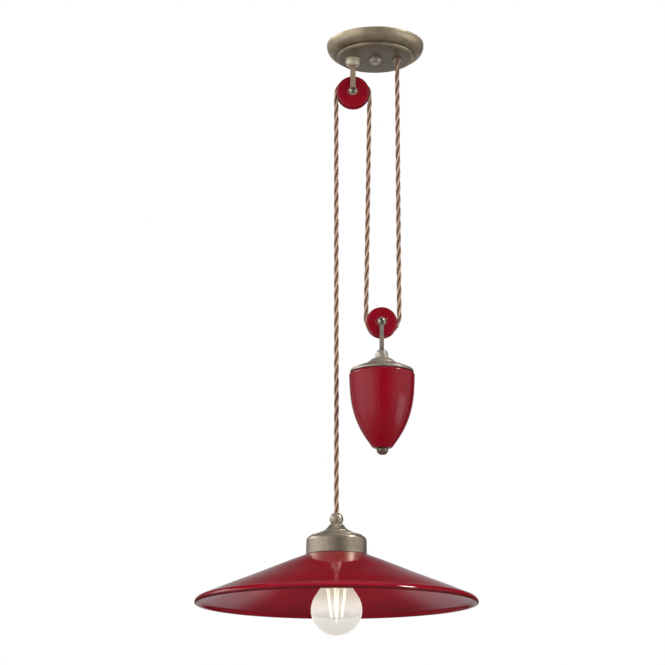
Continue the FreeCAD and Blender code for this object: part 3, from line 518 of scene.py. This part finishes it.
M["iron"] = moulded("cast_iron_slug", (0.05, 0.05, 0.052), (0.09, 0.088, 0.085), rough=0.6, grain=500.0, depth=0.0003, Metallic=0.8)
M["white"] = moulded("white_plastic", (0.72, 0.71, 0.67), (0.80, 0.79, 0.75), rough=0.42)
M["porcelain"] = moulded("porcelain_insert", (0.76, 0.75, 0.70), (0.84, 0.83, 0.79), rough=0.5, grain=1400.0)
M["black"] = moulded("black_insulator", (0.008, 0.008, 0.010), (0.016, 0.016, 0.018), rough=0.2)
M["rubber"] = moulded("seal_rubber", (0.012, 0.011, 0.011), (0.025, 0.022, 0.021), rough=0.7)
M["felt"] = felt_mat()
M["flex"] = textile()
M["glass"] = glass("clear_glass", tint=(0.46, 0.455, 0.445), second=(0.42, 0.415, 0.405), glow=0.31)
M["stem"] = glass("stem_glass", tint=(0.96, 0.965, 0.93), rough=0.03, glow=0.35)
M["filament"] = glowing()

# ====================================================================== flex
# One twisted flex, in five pieces: supply end and run down to the lower sheave,
# loop under it, slanting run up, loop over the upper sheave, run to the lamp.
LAY = 0.0635                 # one turn of the three strands
STRAND_R = 0.00176
CENTRE_R = 0.00204

ROUTES = [
    ("flex_supply", [(34.5, -23.2, -6.6), (34.5, -15.8, -6.6), (34.5, -5.4, -6.6), (34.5, 0.0, -12.1), (34.5, 0.0, -24.0), (34.5, 0.0, -70.0), (34.5, 0.0, -400.0), (34.5, 0.0, -444.346)]),
    ("flex_under", [(34.5, 0.0, -444.346), (34.5, 0.0, -454.283), (23.1, 0.0, -470.562), (10.54, 0.0, -475.132), (3.69, 0.0, -475.066), (-7.35, 0.0, -470.804), (-16.717, 0.0, -456.852), (-16.554, 0.0, -448.451)]),
    ("flex_middle", [(-16.554, 0.0, -448.451), (-15.72, 0.0, -405.5), (-10.34, 0.0, -129.2), (-9.506, 0.0, -86.291)]),
    ("flex_over", [(-9.506, 0.0, -86.291), (-9.343, 0.0, -77.922), (-18.06, 0.0, -63.632), (-30.26, 0.0, -57.652), (-40.69, 0.0, -57.55), (-53.01, 0.0, -63.292), (-62.0, 0.0, -77.41), (-62.0, 0.0, -85.78)]),
    ("flex_drop", [(-62.0, 0.0, -85.78), (-62.0, 0.0, -130.0), (-62.0, 0.0, -705.0), (-62.0, 0.0, -750.4), (-62.0, 0.0, -790.2)]),
]


def spline_points(pts):
    """The line of a smooth NURBS spline with these control points."""
    cu = bpy.data.curves.new("route", "CURVE")
    cu.dimensions = "3D"
    sp = cu.splines.new("NURBS")
    sp.points.add(len(pts) - 1)
    for p, q in zip(sp.points, pts):
        p.co = (q[0] * MM, q[1] * MM, q[2] * MM, 1.0)
    sp.order_u = 3
    sp.use_endpoint_u = True
    sp.resolution_u = 24
    o = bpy.data.objects.new("route", cu)
    scene.collection.objects.link(o)
    bpy.context.view_layer.update()
    me = bpy.data.meshes.new_from_object(o)
    line = [Vector(v.co) for v in me.vertices]
    bpy.data.objects.remove(o)
    bpy.data.meshes.remove(me)
    if (line[0] - Vector(pts[0]) * MM).length > (line[-1] - Vector(pts[0]) * MM).length:
        line.reverse()
    return line


def respace(line, step):
    """The same line with a point about every step, and its length."""
    at = np.concatenate([[0.0], np.cumsum([(b - a).length for a, b in zip(line, line[1:])])])
    n = max(2, int(round(at[-1] / step)))
    s = np.linspace(0, at[-1], n + 1)
    xyz = np.array([list(p) for p in line])
    return [Vector(p) for p in np.stack([np.interp(s, at, xyz[:, i]) for i in range(3)], 1)], float(at[-1])


lines = []
for name, pts in ROUTES:
    raw = spline_points(pts)
    lines.append((name, *respace(raw, 0.0016)))

# one frame carried along the whole flex, so that the twist runs through every joint
chain = []
for k, (name, pts, length) in enumerate(lines):
    chain += [(k, i, p) for i, p in enumerate(pts)]
start_at = sum(1 for k, i, p in chain if k == 0) - 1
whole = [p for k, i, p in chain]
tangents = []
for i, (k, j, p) in enumerate(chain):
    pts = lines[k][1]
    a, b = pts[max(j - 1, 0)], pts[min(j + 1, len(pts) - 1)]
    tangents.append((b - a).normalized())
side = [None] * len(chain)
side[start_at] = Vector((1, 0, 0))
for i in range(start_at, len(chain) - 1):
    side[i + 1] = (tangents[i].rotation_difference(tangents[i + 1]) @ side[i]).normalized()
for i in range(start_at, 0, -1):
    side[i - 1] = (tangents[i].rotation_difference(tangents[i - 1]) @ side[i]).normalized()
run = 0.0
travel = []
for i, (k, j, p) in enumerate(chain):
    if i:
        run += (p - chain[i - 1][2]).length
    travel.append(run)

SIDES = 14
flex_pieces = {}
for k, (name, pts, length) in enumerate(lines):
    ids = [i for i, c in enumerate(chain) if c[0] == k]
    bm = bmesh.new()
    uv = bm.loops.layers.uv.new("weave")
    outward = bm.verts.layers.float.new("outward")
    for s in range(3):
        rings = []
        for i in ids:
            p, t, n = chain[i][2], tangents[i], side[i]
            bn = t.cross(n)
            # strands wind as a right-hand screw along the flex
            a = 2 * math.pi * (travel[i] / LAY + s / 3) + 0.6
            wob = 1.0 + 0.02 * math.sin(travel[i] * 310 + 2.1 * s)
            c = p + (n * math.cos(a) + bn * math.sin(a)) * CENTRE_R
            tilt = math.atan(2 * math.pi * CENTRE_R / LAY)
            spin_dir = (-n * math.sin(a) + bn * math.cos(a))
            along = t * math.cos(tilt) + spin_dir * math.sin(tilt)
            e1 = (n * math.cos(a) + bn * math.sin(a))
            e2 = along.cross(e1).normalized()
            ring = []
            for q in range(SIDES):
                b = 2 * math.pi * q / SIDES
                v = bm.verts.new(c + (e1 * math.cos(b) + e2 * math.sin(b)) * STRAND_R * wob)
                v[outward] = 0.5 + 0.5 * math.cos(b)
                ring.append(v)
            rings.append(ring)
        stretch = math.sqrt(1 + (2 * math.pi * CENTRE_R / LAY) ** 2)
        for r in range(len(rings) - 1):
            v0, v1 = travel[ids[r]] * stretch, travel[ids[r + 1]] * stretch
            for q in range(SIDES):
                j = (q + 1) % SIDES
                f = bm.faces.new((rings[r][q], rings[r][j], rings[r + 1][j], rings[r + 1][q]))
                around = 2 * math.pi * STRAND_R
                for loop, w in zip(f.loops, ((q / SIDES * around, v0), ((q + 1) / SIDES * around, v0), ((q + 1) / SIDES * around, v1), (q / SIDES * around, v1))):
                    loop[uv].uv = w
        bm.faces.new(rings[0][::-1])
        bm.faces.new(rings[-1])
    o = finish_mesh(name, bm, M["flex"], sharp=60)
    flex_pieces[name] = (o, pts, length)

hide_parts("flex_supply_tail", "flex_ceiling_run")
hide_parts("flex_lower_loop")
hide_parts("flex_middle_run")
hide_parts("flex_upper_loop")
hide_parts("flex_lamp_run", "flex_lamp_tail")
for name, where in (("flex_supply", (OUT_X, 0, -24.0)), ("flex_under", ROUTES[1][1][0]), ("flex_middle", ROUTES[2][1][0]), ("flex_over", ROUTES[3][1][0]), ("flex_drop", ROUTES[4][1][0])):
    o, pts, length = flex_pieces[name]
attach(flex_pieces["flex_under"][0], "counterweight")
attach(flex_pieces["flex_over"][0], "ceiling")
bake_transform(flex_pieces["flex_supply"][0])
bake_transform(flex_pieces["flex_middle"][0])
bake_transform(flex_pieces["flex_drop"][0])

# ============================================================= ceiling plate
o = lathe("ceiling_plate_spun", profile(
    (76.7, 0), ("L", (76.7, -2.0)), ("A", (74.3, -11.0), (66.0, -18.0)), ("A", (64.3, -18.75), (62.7, -19.0)), ("A", (61.6, -19.9), (61.1, -21.2)),
    ("A", (59.6, -22.6), (58.1, -21.6)), ("L", (57.3, -21.4)), ("A", (56.7, -22.6), (55.4, -23.2)), ("L", (30.0, -23.2)), ("L", (3.2, -23.2)), ("L", (3.2, -22.0)), ("L", (54.6, -22.0)),
    ("L", (56.1, -20.3)), ("L", (59.9, -20.0)), ("L", (61.0, -18.6)), ("L", (62.4, -17.7)), ("L", (65.3, -16.9)), ("A", (73.2, -10.4), (75.5, -2.0)), ("L", (75.5, 0)), soft=0.3),
    M["brass_plate"], "ceiling", seg=192, nodes=["ceiling_plate"])
bore(o, (UP_X, 0, -22.6), 2.75, 8.0, "Z")
bore(o, (OUT_X, 0, -22.6), 5.55, 8.0, "Z")
lathe("outlet_bush", profile(
    (4.05, -19.3), ("L", (5.5, -19.3)), ("L", (5.5, -23.2)), ("L", (7.2, -23.2)), ("L", (7.2, -25.0)), ("A", (6.7, -26.2), (5.5, -26.7)), ("L", (4.7, -26.7)), ("A", (4.25, -26.5), (4.05, -26.0)), soft=0.25),
    M["brass_outlet"], "ceiling", cx=OUT_X, seg=72, nodes=["cord_outlet_bush"])
lathe("upper_fork_cup", profile(
    (2.6, -23.2), ("L", (11.6, -23.2)), ("L", (11.6, -24.4)), ("L", (11.1, -24.8)), ("A", (11.3, -28.0), (10.9, -31.0)), ("A", (9.4, -34.2), (5.6, -35.6)), ("L", (2.6, -35.6)), soft=0.3),
    M["bright"], "ceiling", cx=UP_X, seg=96, nodes=["upper_fork_ferrule"])


# ================================================================== sheaves
def sheave(flange, cord):
    lip = flange - 0.9
    return profile((4.5, -8.0), ("L", (8.2, -8.0)), ("A", (9.2, -7.75), (9.8, -7.3)), ("L", (flange - 3.6, -7.0)), ("A", (flange - 2.9, -7.2), (flange - 2.3, -7.0)),
                   ("L", (flange - 0.5, -6.3)), ("A", (flange, -5.8), (flange - 0.2, -5.2)), ("L", (lip, -4.8)), ("L", (cord, -4.25)), ("A", (cord - 4.25, 0), (cord, 4.25)),
                   ("L", (lip, 4.8)), ("L", (flange - 0.2, 5.2)), ("A", (flange, 5.8), (flange - 0.5, 6.3)), ("L", (flange - 2.3, 7.0)), ("A", (flange - 2.9, 7.2), (flange - 3.6, 7.0)),
                   ("L", (9.8, 7.3)), ("A", (9.2, 7.75), (8.2, 8.0)), ("L", (4.5, 8.0)), soft=0.35)


lathe("upper_sheave_glazed", sheave(25.8, 23.0), M["glaze_upper"], "upper_sheave", y=(UP_X, UP_Z), seg=144, nodes=["upper_pulley"])
lathe("lower_sheave_glazed", sheave(23.7, 18.9), M["glaze_lower"], "lower_sheave", y=(LO_X, LO_Z), seg=144, nodes=["lower_pulley"])

# ============================================================= counterweight
lathe("lower_fork_cup", profile(
    (3.05, -512.6), ("L", (10.4, -512.6)), ("L", (10.4, -511.2)), ("L", (9.6, -510.8)), ("A", (9.8, -508.0), (9.4, -505.4)), ("A", (7.9, -501.1), (4.6, -499.0)), ("L", (3.05, -499.0)), soft=0.25),
    M["brass_cup"], "counterweight", cx=LO_X, seg=96, nodes=["lower_fork_ferrule"])
lathe("weight_lid", profile(
    (3.1, -512.6), ("L", (12.2, -512.6)), ("A", (17.8, -515.2), (21.6, -518.9)), ("L", (22.1, -520.3)), ("A", (34.5, -524.6), (45.6, -529.6)),
    ("A", (48.0, -531.0), (48.6, -533.0)), ("L", (48.6, -534.6)), ("L", (41.0, -534.6)), ("L", (41.0, -533.6)), ("L", (46.6, -533.2)),
    ("L", (44.9, -530.7)), ("A", (34.0, -525.8), (21.1, -521.5)), ("L", (20.6, -519.6)), ("A", (17.0, -516.2), (11.8, -513.7)), ("L", (3.1, -513.7)), soft=0.3),
    M["brass_weight"], "counterweight", cx=LO_X, seg=160, nodes=["weight_cap"])
OUTER = [(50.0, -541.0), (49.75, -550.0), (49.1, -562.0), (47.8, -575.0), (45.1, -590.0), (40.7, -605.0), (34.4, -620.0), (27.6, -632.2), (21.7, -641.0), (17.0, -647.6)]
INNER = [(14.6, -642.6), (17.6, -638.3), (23.0, -630.0), (29.8, -618.0), (36.1, -603.0), (40.3, -588.6), (42.9, -574.0), (44.1, -561.5), (44.75, -550.0), (45.0, -541.0)]
lathe("weight_cup_glazed", profile(
    (3.4, -651.5), ("L", (11.0, -651.5)), ("A", (14.6, -650.4), OUTER[-1]), ("S", *reversed(OUTER[:-1])), ("A", (49.4, -537.2), (47.2, -535.8)), ("L", (43.0, -535.8)), ("L", (43.0, -538.6)),
    ("A", (44.5, -539.4), INNER[-1]), ("S", *reversed(INNER[:-1])), ("L", (12.6, -645.0)), ("L", (3.4, -645.0)), soft=0.5),
    M["glaze_weight"], "counterweight", cx=LO_X, seg=192, nodes=["weight_shell"])
lathe("weight_end_nut", profile(
    (3.05, -651.5), ("L", (7.9, -651.5)), ("A", (8.7, -652.3), (8.9, -653.6)), ("A", (6.6, -659.4), (0.8, -661.4)), ("L", (0, -661.4)), ("L", (0, -658.4)), ("L", (3.05, -658.4)), soft=0.2),
    M["brass_dark"], "counterweight", cx=LO_X, seg=72, nodes=["weight_finial"])

# ====================================================================== lamp
o = lathe("cord_grip_ball", profile(
    (3.85, -750.4), ("L", (4.85, -750.4)), ("A", (10.3, -759.5), (7.6, -766.45)), ("L", (7.6, -767.4)), ("L", (5.05, -767.4)), ("L", (5.05, -762.5)), ("L", (3.85, -762.5)), soft=0.25),
    M["brass_lamp"], "lamp", cx=LAMP_X, seg=96, nodes=["cord_grip"])
bore(o, (LAMP_X, 8.0, -757.6), 2.05, 8.0, "Y")
lathe("fitter_cap_spun", profile(
    (5.1, -767.4), ("L", (10.4, -767.4)), ("A", (14.0, -772.3), (19.6, -777.0)), ("L", (21.2, -777.3)), ("L", (21.6, -778.4)), ("A", (29.0, -780.9), (37.4, -783.6)),
    ("L", (38.6, -784.0)), ("L", (39.0, -785.0)), ("A", (43.4, -787.8), (45.1, -792.6)), ("L", (45.4, -811.6)), ("L", (45.7, -812.0)), ("L", (45.7, -812.6)), ("L", (44.3, -812.6)),
    ("L", (44.1, -792.8)), ("A", (42.5, -788.6), (38.4, -786.0)), ("L", (37.2, -784.7)), ("A", (28.7, -782.0), (20.7, -779.4)), ("L", (20.0, -778.2)),
    ("L", (19.0, -778.0)), ("A", (13.3, -773.1), (9.9, -768.5)), ("L", (5.1, -768.5)), soft=0.3),
    M["brass_lamp"], "lamp", cx=LAMP_X, seg=160, nodes=["fitter_cap"])

WALL = 4.2
TOP = [(52.5, -815.6), (60.0, -818.3), (75.0, -824.2), (95.0, -832.4), (120.0, -842.8), (145.0, -852.7), (163.0, -859.8), (180.0, -866.7), (193.0, -872.1), (202.0, -875.9)]
UNDER = []
for i, (r, z) in enumerate(TOP):
    a, b = TOP[max(i - 1, 0)], TOP[min(i + 1, len(TOP) - 1)]
    d = math.dist(a, b)
    UNDER.append((r + (b[1] - a[1]) / d * WALL, z - (b[0] - a[0]) / d * WALL))
lathe("shade_glazed", profile(
    (20.2, -814.0), ("L", (47.6, -814.0)), ("A", (50.4, -814.5), TOP[0]), ("S", *TOP[1:]), ("A", (207.9, -879.3), (210.0, -884.2)), ("A", (209.2, -885.9), (207.5, -886.4)),
    ("A", (205.7, -885.7), (204.6, -884.0)), ("A", (203.0, -881.9), UNDER[-1]), ("S", *reversed(UNDER[:-1])), ("L", (48.6, -820.0)), ("L", (20.2, -820.0)), soft=0.6),
    M["glaze_shade"], "lamp", cx=LAMP_X, seg=288, nodes=["shade"])

# ====================================================================== bulb
BC = -894.4
lathe("bulb_envelope", profile(
    (11.5, -838.0), ("L", (11.5, -843.2)), ("L", (12.6, -844.4)), ("L", (12.6, -846.3)), ("A", (13.5, -847.2), (15.1, -848.5)), ("L", (32.02, -873.94)),
    ("A", (38.0, BC), (26.87, BC - 26.87)), ("A", (14.54, BC - 35.11), (0, BC - 37.99)), ("L", (0, BC - 37.1)),
    ("A", (14.2, BC - 34.28), (26.23, BC - 26.24)), ("A", (37.1, BC), (31.26, -874.41)), ("L", (14.2, -848.8)), ("A", (12.4, -847.8), (11.7, -846.2)), ("L", (10.6, -844.4)), ("L", (10.6, -838.0)), soft=0.2),
    M["glass"], "bulb", cx=LAMP_X, seg=144, nodes=["bulb_glass"])
lathe("bulb_stem_glass", profile(
    (0, -841.0), ("L", (10.2, -841.0)), ("L", (10.2, -842.0)), ("A", (5.0, -844.5), (3.6, -851.0)), ("L", (3.2, -864.0)), ("A", (2.9, -865.4), (1.1, -866.4)),
    ("L", (1.1, -908.5)), ("A", (1.9, -910.2), (1.4, -912.0)), ("L", (0.35, -914.4)), ("L", (0, -914.4)), soft=0.2),
    M["stem"], "bulb", cx=LAMP_X, seg=48, nodes=["bulb_stem"])


def helix_cap():
    """Screw cap of the bulb with a real thread: rings of points whose radius follows the helix."""
    bm = bmesh.new()
    seg, pitch = 96, 3.629
    z0, z1 = -825.0, -840.2
    levels = [(10.5, -822.35), (12.0, -824.6)]
    n = 44
    rings = []
    for r, z in levels:
        rings.append([bm.verts.new(((LAMP_X + r * math.cos(2 * math.pi * i / seg)) * MM, r * math.sin(2 * math.pi * i / seg) * MM, z * MM)) for i in range(seg)])
    for k in range(n + 1):
        z = z0 + (z1 - z0) * k / n
        fade = min(1.0, (z0 - z) / 1.6, (z - z1) / 1.6)
        ring = []
        for i in range(seg):
            a = 2 * math.pi * i / seg
            r = 12.55 + 0.5 * fade * math.cos(2 * math.pi * (z / pitch) - a)
            ring.append(bm.verts.new(((LAMP_X + r * math.cos(a)) * MM, r * math.sin(a) * MM, z * MM)))
        rings.append(ring)
    for r, z in ((13.1, -840.8), (13.1, -846.0), (12.75, -846.0), (12.75, -843.4), (11.6, -842.4), (11.6, -824.9), (9.95, -824.4), (9.95, -822.35)):
        rings.append([bm.verts.new(((LAMP_X + r * math.cos(2 * math.pi * i / seg)) * MM, r * math.sin(2 * math.pi * i / seg) * MM, z * MM)) for i in range(seg)])
    for k in range(len(rings)):
        a, b = rings[k], rings[(k + 1) % len(rings)]
        for i in range(seg):
            j = (i + 1) % seg
            bm.faces.new((a[i], a[j], b[j], b[i]))
    o = finish_mesh("bulb_screw_cap", bm, M["nickel"])
    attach(o, "bulb")
    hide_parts("bulb_cap")


helix_cap()


def tube(bm, pts, radius, sides=10, ends=True):
    """A round rod along pts, in mm, with rounded ends when asked."""
    pts = [Vector(p) for p in pts]
    prev = None
    rings = []
    radii = [radius] * len(pts)
    if ends:
        t0, t1 = (pts[1] - pts[0]).normalized(), (pts[-1] - pts[-2]).normalized()
        pts = [pts[0] - t0 * radius * 0.0, pts[0] + t0 * radius * 0.4] + pts[1:-1] + [pts[-1] - t1 * radius * 0.4, pts[-1]]
        radii = [radius * 0.6] + [radius] * (len(pts) - 2) + [radius * 0.6]
    for i, p in enumerate(pts):
        t = (pts[min(i + 1, len(pts) - 1)] - pts[max(i - 1, 0)]).normalized()
        if prev is None:
            prev = t.orthogonal().normalized()
        n = (prev - t * prev.dot(t)).normalized()
        b = t.cross(n)
        prev = n
        rings.append([bm.verts.new((p + (n * math.cos(2 * math.pi * q / sides) + b * math.sin(2 * math.pi * q / sides)) * radii[i]) * MM) for q in range(sides)])
    for a, b in zip(rings, rings[1:]):
        for q in range(sides):
            j = (q + 1) % sides
            bm.faces.new((a[q], a[j], b[j], b[q]))
    bm.faces.new(rings[0][::-1])
    bm.faces.new(rings[-1])


fil, sup = bmesh.new(), bmesh.new()
for i in range(6):
    a = math.radians(20 + 60 * i)
    ca, sa = math.cos(a), math.sin(a)
    at = lambda r, z: (LAMP_X + r * ca, r * sa, z)
    tube(fil, [at(15.0, -864.0), at(12.0, -884.5), at(9.0, -905.0)], 0.75, 12)
    tube(sup, [at(3.15, -861.5), at(6.0, -860.6), at(11.0, -861.4), at(14.2, -862.4), at(14.96, -864.6)], 0.25, 8, False)
    tube(sup, [at(9.03, -904.5), at(8.7, -906.6), at(7.4, -907.9), at(5.0, -907.6), at(1.2, -906.6)], 0.25, 8, False)
o = finish_mesh("bulb_filament_sticks", fil, M["filament"])
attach(o, "bulb"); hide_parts("bulb_filaments")
o = finish_mesh("bulb_support_wires", sup, M["steel"])
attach(o, "bulb"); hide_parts("bulb_supports")

# ================================================ CAD pieces that keep their shape
KEEP = {
    "steel": ["ceiling_bracket", "fixing_stud", "terminal_screws", "weight_rod", "weight_rod_nut", "grip_screw"],
    "brass_bits": ["earth_screw", "outlet_nut", "upper_fork_nut", "nipple_nut", "fitter_nipple", "lampholder_thread", "lampholder_tongue", "bulb_contact", "upper_bush", "lower_bush",
                   "upper_washers", "lower_washers", "lampholder_dome", "lampholder_shell"],
    "brass_upper": ["upper_fork", "upper_fork_screw"],
    "brass_arm": ["lower_fork"],
    "bolt": ["upper_axle", "upper_axle_nut", "lower_axle", "lower_axle_nut"],
    "brass_lamp": ["shade_ring"],
    "copper": ["plate_knob"],
    "white": ["terminal_block", "cord_anchor"],
    "porcelain": ["lampholder_base"],
    "black": ["bulb_insulator"],
    "rubber": ["weight_gasket"],
    "felt": ["shade_gasket"],
    "iron": ["weight_ballast"],
}
BEVEL = {"upper_fork": 0.45, "lower_fork": 0.4, "upper_axle": 0.25, "lower_axle": 0.25, "upper_axle_nut": 0.2, "lower_axle_nut": 0.2, "plate_knob": 0.3, "ceiling_bracket": 0.3,
         "terminal_block": 0.3, "cord_anchor": 0.3, "outlet_nut": 0.2, "upper_fork_nut": 0.2, "weight_rod_nut": 0.2, "nipple_nut": 0.2, "lampholder_shell": 0.3, "shade_ring": 0.3}
for key, names in KEEP.items():
    for n in names:
        o = NODES[n]
        if not o.material_slots:
            o.data.materials.append(None)
        for s in o.material_slots:
            s.link = "OBJECT"
            s.material = M[key]
        if n in BEVEL:
            b = o.modifiers.new("edge", "BEVEL")
            b.width = BEVEL[n] * MM
            b.segments = 2
            b.limit_method = "ANGLE"
            b.angle_limit = math.radians(35)
            b.harden_normals = False

# ===================================================================== stage
AMBIENT = 0.42        # soft light from all round
bm = bmesh.new()
disc = [bm.verts.new((8.5 * math.cos(math.radians(3 * i)), 8.5 * math.sin(math.radians(3 * i)), -5.5)) for i in range(120)]
bm.faces.new(disc)
floor_mat = Mat("pale_floor")
grain = floor_mat.noise(3.0, detail=4.0)
floor_mat.to(floor_mat.mix(grain, (0.80, 0.80, 0.79), (0.84, 0.84, 0.83)), "Base Color")
floor_mat.set(Roughness=0.85)
floor = finish_mesh("floor", bm, floor_mat.mat)
floor.visible_glossy = False

world = bpy.data.worlds.new("studio")
scene.world = world
world.use_nodes = True
nt = world.node_tree
nt.nodes.clear()
out = nt.nodes.new("ShaderNodeOutputWorld")
path = nt.nodes.new("ShaderNodeLightPath")


def backdrop(color, strength):
    n = nt.nodes.new("ShaderNodeBackground")
    n.inputs[0].default_value = (*color, 1)
    n.inputs[1].default_value = strength
    return n.outputs[0]


def choose(fac, a, b):
    n = nt.nodes.new("ShaderNodeMixShader")
    nt.links.new(fac, n.inputs[0])
    nt.links.new(a, n.inputs[1])
    nt.links.new(b, n.inputs[2])
    return n.outputs[0]


def calc(op, a, b=None, clamp=False):
    n = nt.nodes.new("ShaderNodeMath")
    n.operation = op
    n.use_clamp = clamp
    for i, v in enumerate((a, b)):
        if isinstance(v, (int, float)):
            n.inputs[i].default_value = v
        elif v is not None:
            nt.links.new(v, n.inputs[i])
    return n.outputs[0]


def band(v, lo, hi, a=0.0, b=1.0, smooth=True):
    n = nt.nodes.new("ShaderNodeMapRange")
    n.interpolation_type = "SMOOTHSTEP" if smooth else "LINEAR"
    nt.links.new(v, n.inputs[0])
    for i, w in enumerate((lo, hi, a, b)):
        n.inputs[i + 1].default_value = w
    return n.outputs[0]


# The studio that shiny surfaces see: a dark room behind the camera, soft white
# panels to the left and the right, and a white wall behind that darkens upward.
way = nt.nodes.new("ShaderNodeTexCoord").outputs["Generated"]
axes = nt.nodes.new("ShaderNodeSeparateXYZ")
nt.links.new(way, axes.inputs[0])
wx, wy, wz = axes.outputs
turn_left = calc("MULTIPLY", calc("ARCTAN2", calc("MULTIPLY", wx, -1.0), calc("MULTIPLY", wy, -1.0)), 57.2958)     # degrees from the front, left is +
upright = calc("MULTIPLY", band(wz, -0.80, -0.10), band(wz, 0.72, 0.45))
left = calc("ADD", band(turn_left, 8.0, 11.0, 0.0, 0.26), band(turn_left, 16.0, 48.0, 0.0, 0.62))
left = calc("MULTIPLY", calc("MULTIPLY", left, upright), calc("MULTIPLY", band(turn_left, 120.0, 85.0, 0.40, 1.0), band(turn_left, 150.0, 134.0)))
right = calc("MULTIPLY", calc("MULTIPLY", band(turn_left, -10.0, -60.0), upright), calc("MULTIPLY", band(turn_left, -115.0, -88.0, 0.60, 1.0), band(turn_left, -128.0, -114.0)))
low = calc("MULTIPLY", calc("MULTIPLY", band(turn_left, -56.0, -70.0), band(turn_left, -104.0, -88.0)), calc("MULTIPLY", band(wz, -0.55, -0.35), band(wz, 0.06, -0.08)))
lamp = calc("MULTIPLY", calc("MULTIPLY", band(turn_left, -62.0, -66.0), band(turn_left, -80.0, -76.0)), calc("MULTIPLY", band(wz, 0.60, 0.63), band(wz, 0.76, 0.73)))
high = calc("MULTIPLY", calc("MULTIPLY", band(turn_left, 78.0, 92.0), band(turn_left, 135.0, 122.0)), calc("MULTIPLY", band(wz, 0.26, 0.34), band(wz, 0.66, 0.54)))
behind = band(calc("ABSOLUTE", turn_left), 148.0, 162.0)
wall = calc("MULTIPLY", behind, calc("MULTIPLY", band(wz, 0.62, 0.12), band(wz, -0.66, -0.48)))
ground = band(wz, -0.30, -0.70)
sky = band(wz, 0.78, 0.97)
mirrored = 0.03
for part, amount in ((left, 1.0), (right, 0.48), (low, 0.85), (lamp, 40.0), (high, 2.6), (wall, 0.45), (ground, 0.07), (sky, 0.35)):
    mirrored = calc("ADD", mirrored, calc("MULTIPLY", part, amount))

seen = nt.nodes.new("ShaderNodeMath")
seen.operation = "MAXIMUM"
nt.links.new(path.outputs["Is Camera Ray"], seen.inputs[0])
nt.links.new(path.outputs["Is Transmission Ray"], seen.inputs[1])
glossy = nt.nodes.new("ShaderNodeBackground")
glossy.inputs[0].default_value = (0.96, 0.975, 1.0, 1)
nt.links.new(mirrored, glossy.inputs[1])
around = choose(path.outputs["Is Glossy Ray"], backdrop((0.97, 0.98, 1.0), AMBIENT), glossy.outputs[0])
nt.links.new(choose(seen.outputs[0], around, backdrop((1, 1, 1), 1.0)), out.inputs[0])


def area(name, at, target, size, power, color=(1, 1, 1), size_y=None, mirrored=True):
    d = bpy.data.lights.new(name, "AREA")
    d.shape = "RECTANGLE"
    d.size = size
    d.size_y = size_y or size
    d.energy = power
    d.color = color
    o = bpy.data.objects.new(name, d)
    scene.collection.objects.link(o)
    o.location = at
    o.rotation_euler = (Vector(target) - Vector(at)).to_track_quat("-Z", "Y").to_euler()
    o.visible_glossy = mirrored
    o.visible_transmission = False
    return o


area("key_left", (-2.5, -1.2, 0.1), (-0.03, 0, -0.6), 1.3, 42, size_y=2.0, mirrored=False)
area("fill_right", (2.2, -1.2, -0.2), (0, 0, -0.6), 1.0, 31, size_y=2.2, mirrored=False)
area("top", (0.6, -0.9, 1.6), (0, 0, -0.6), 1.6, 26, mirrored=False)
area("low_front", (0.0, -2.2, -1.45), (-0.06, 0, -0.8), 2.2, 16.0, size_y=0.7, mirrored=False)
area("back_soft", (0.5, 2.6, 0.1), (0, 0, -0.6), 1.6, 26, size_y=1.8, mirrored=False)
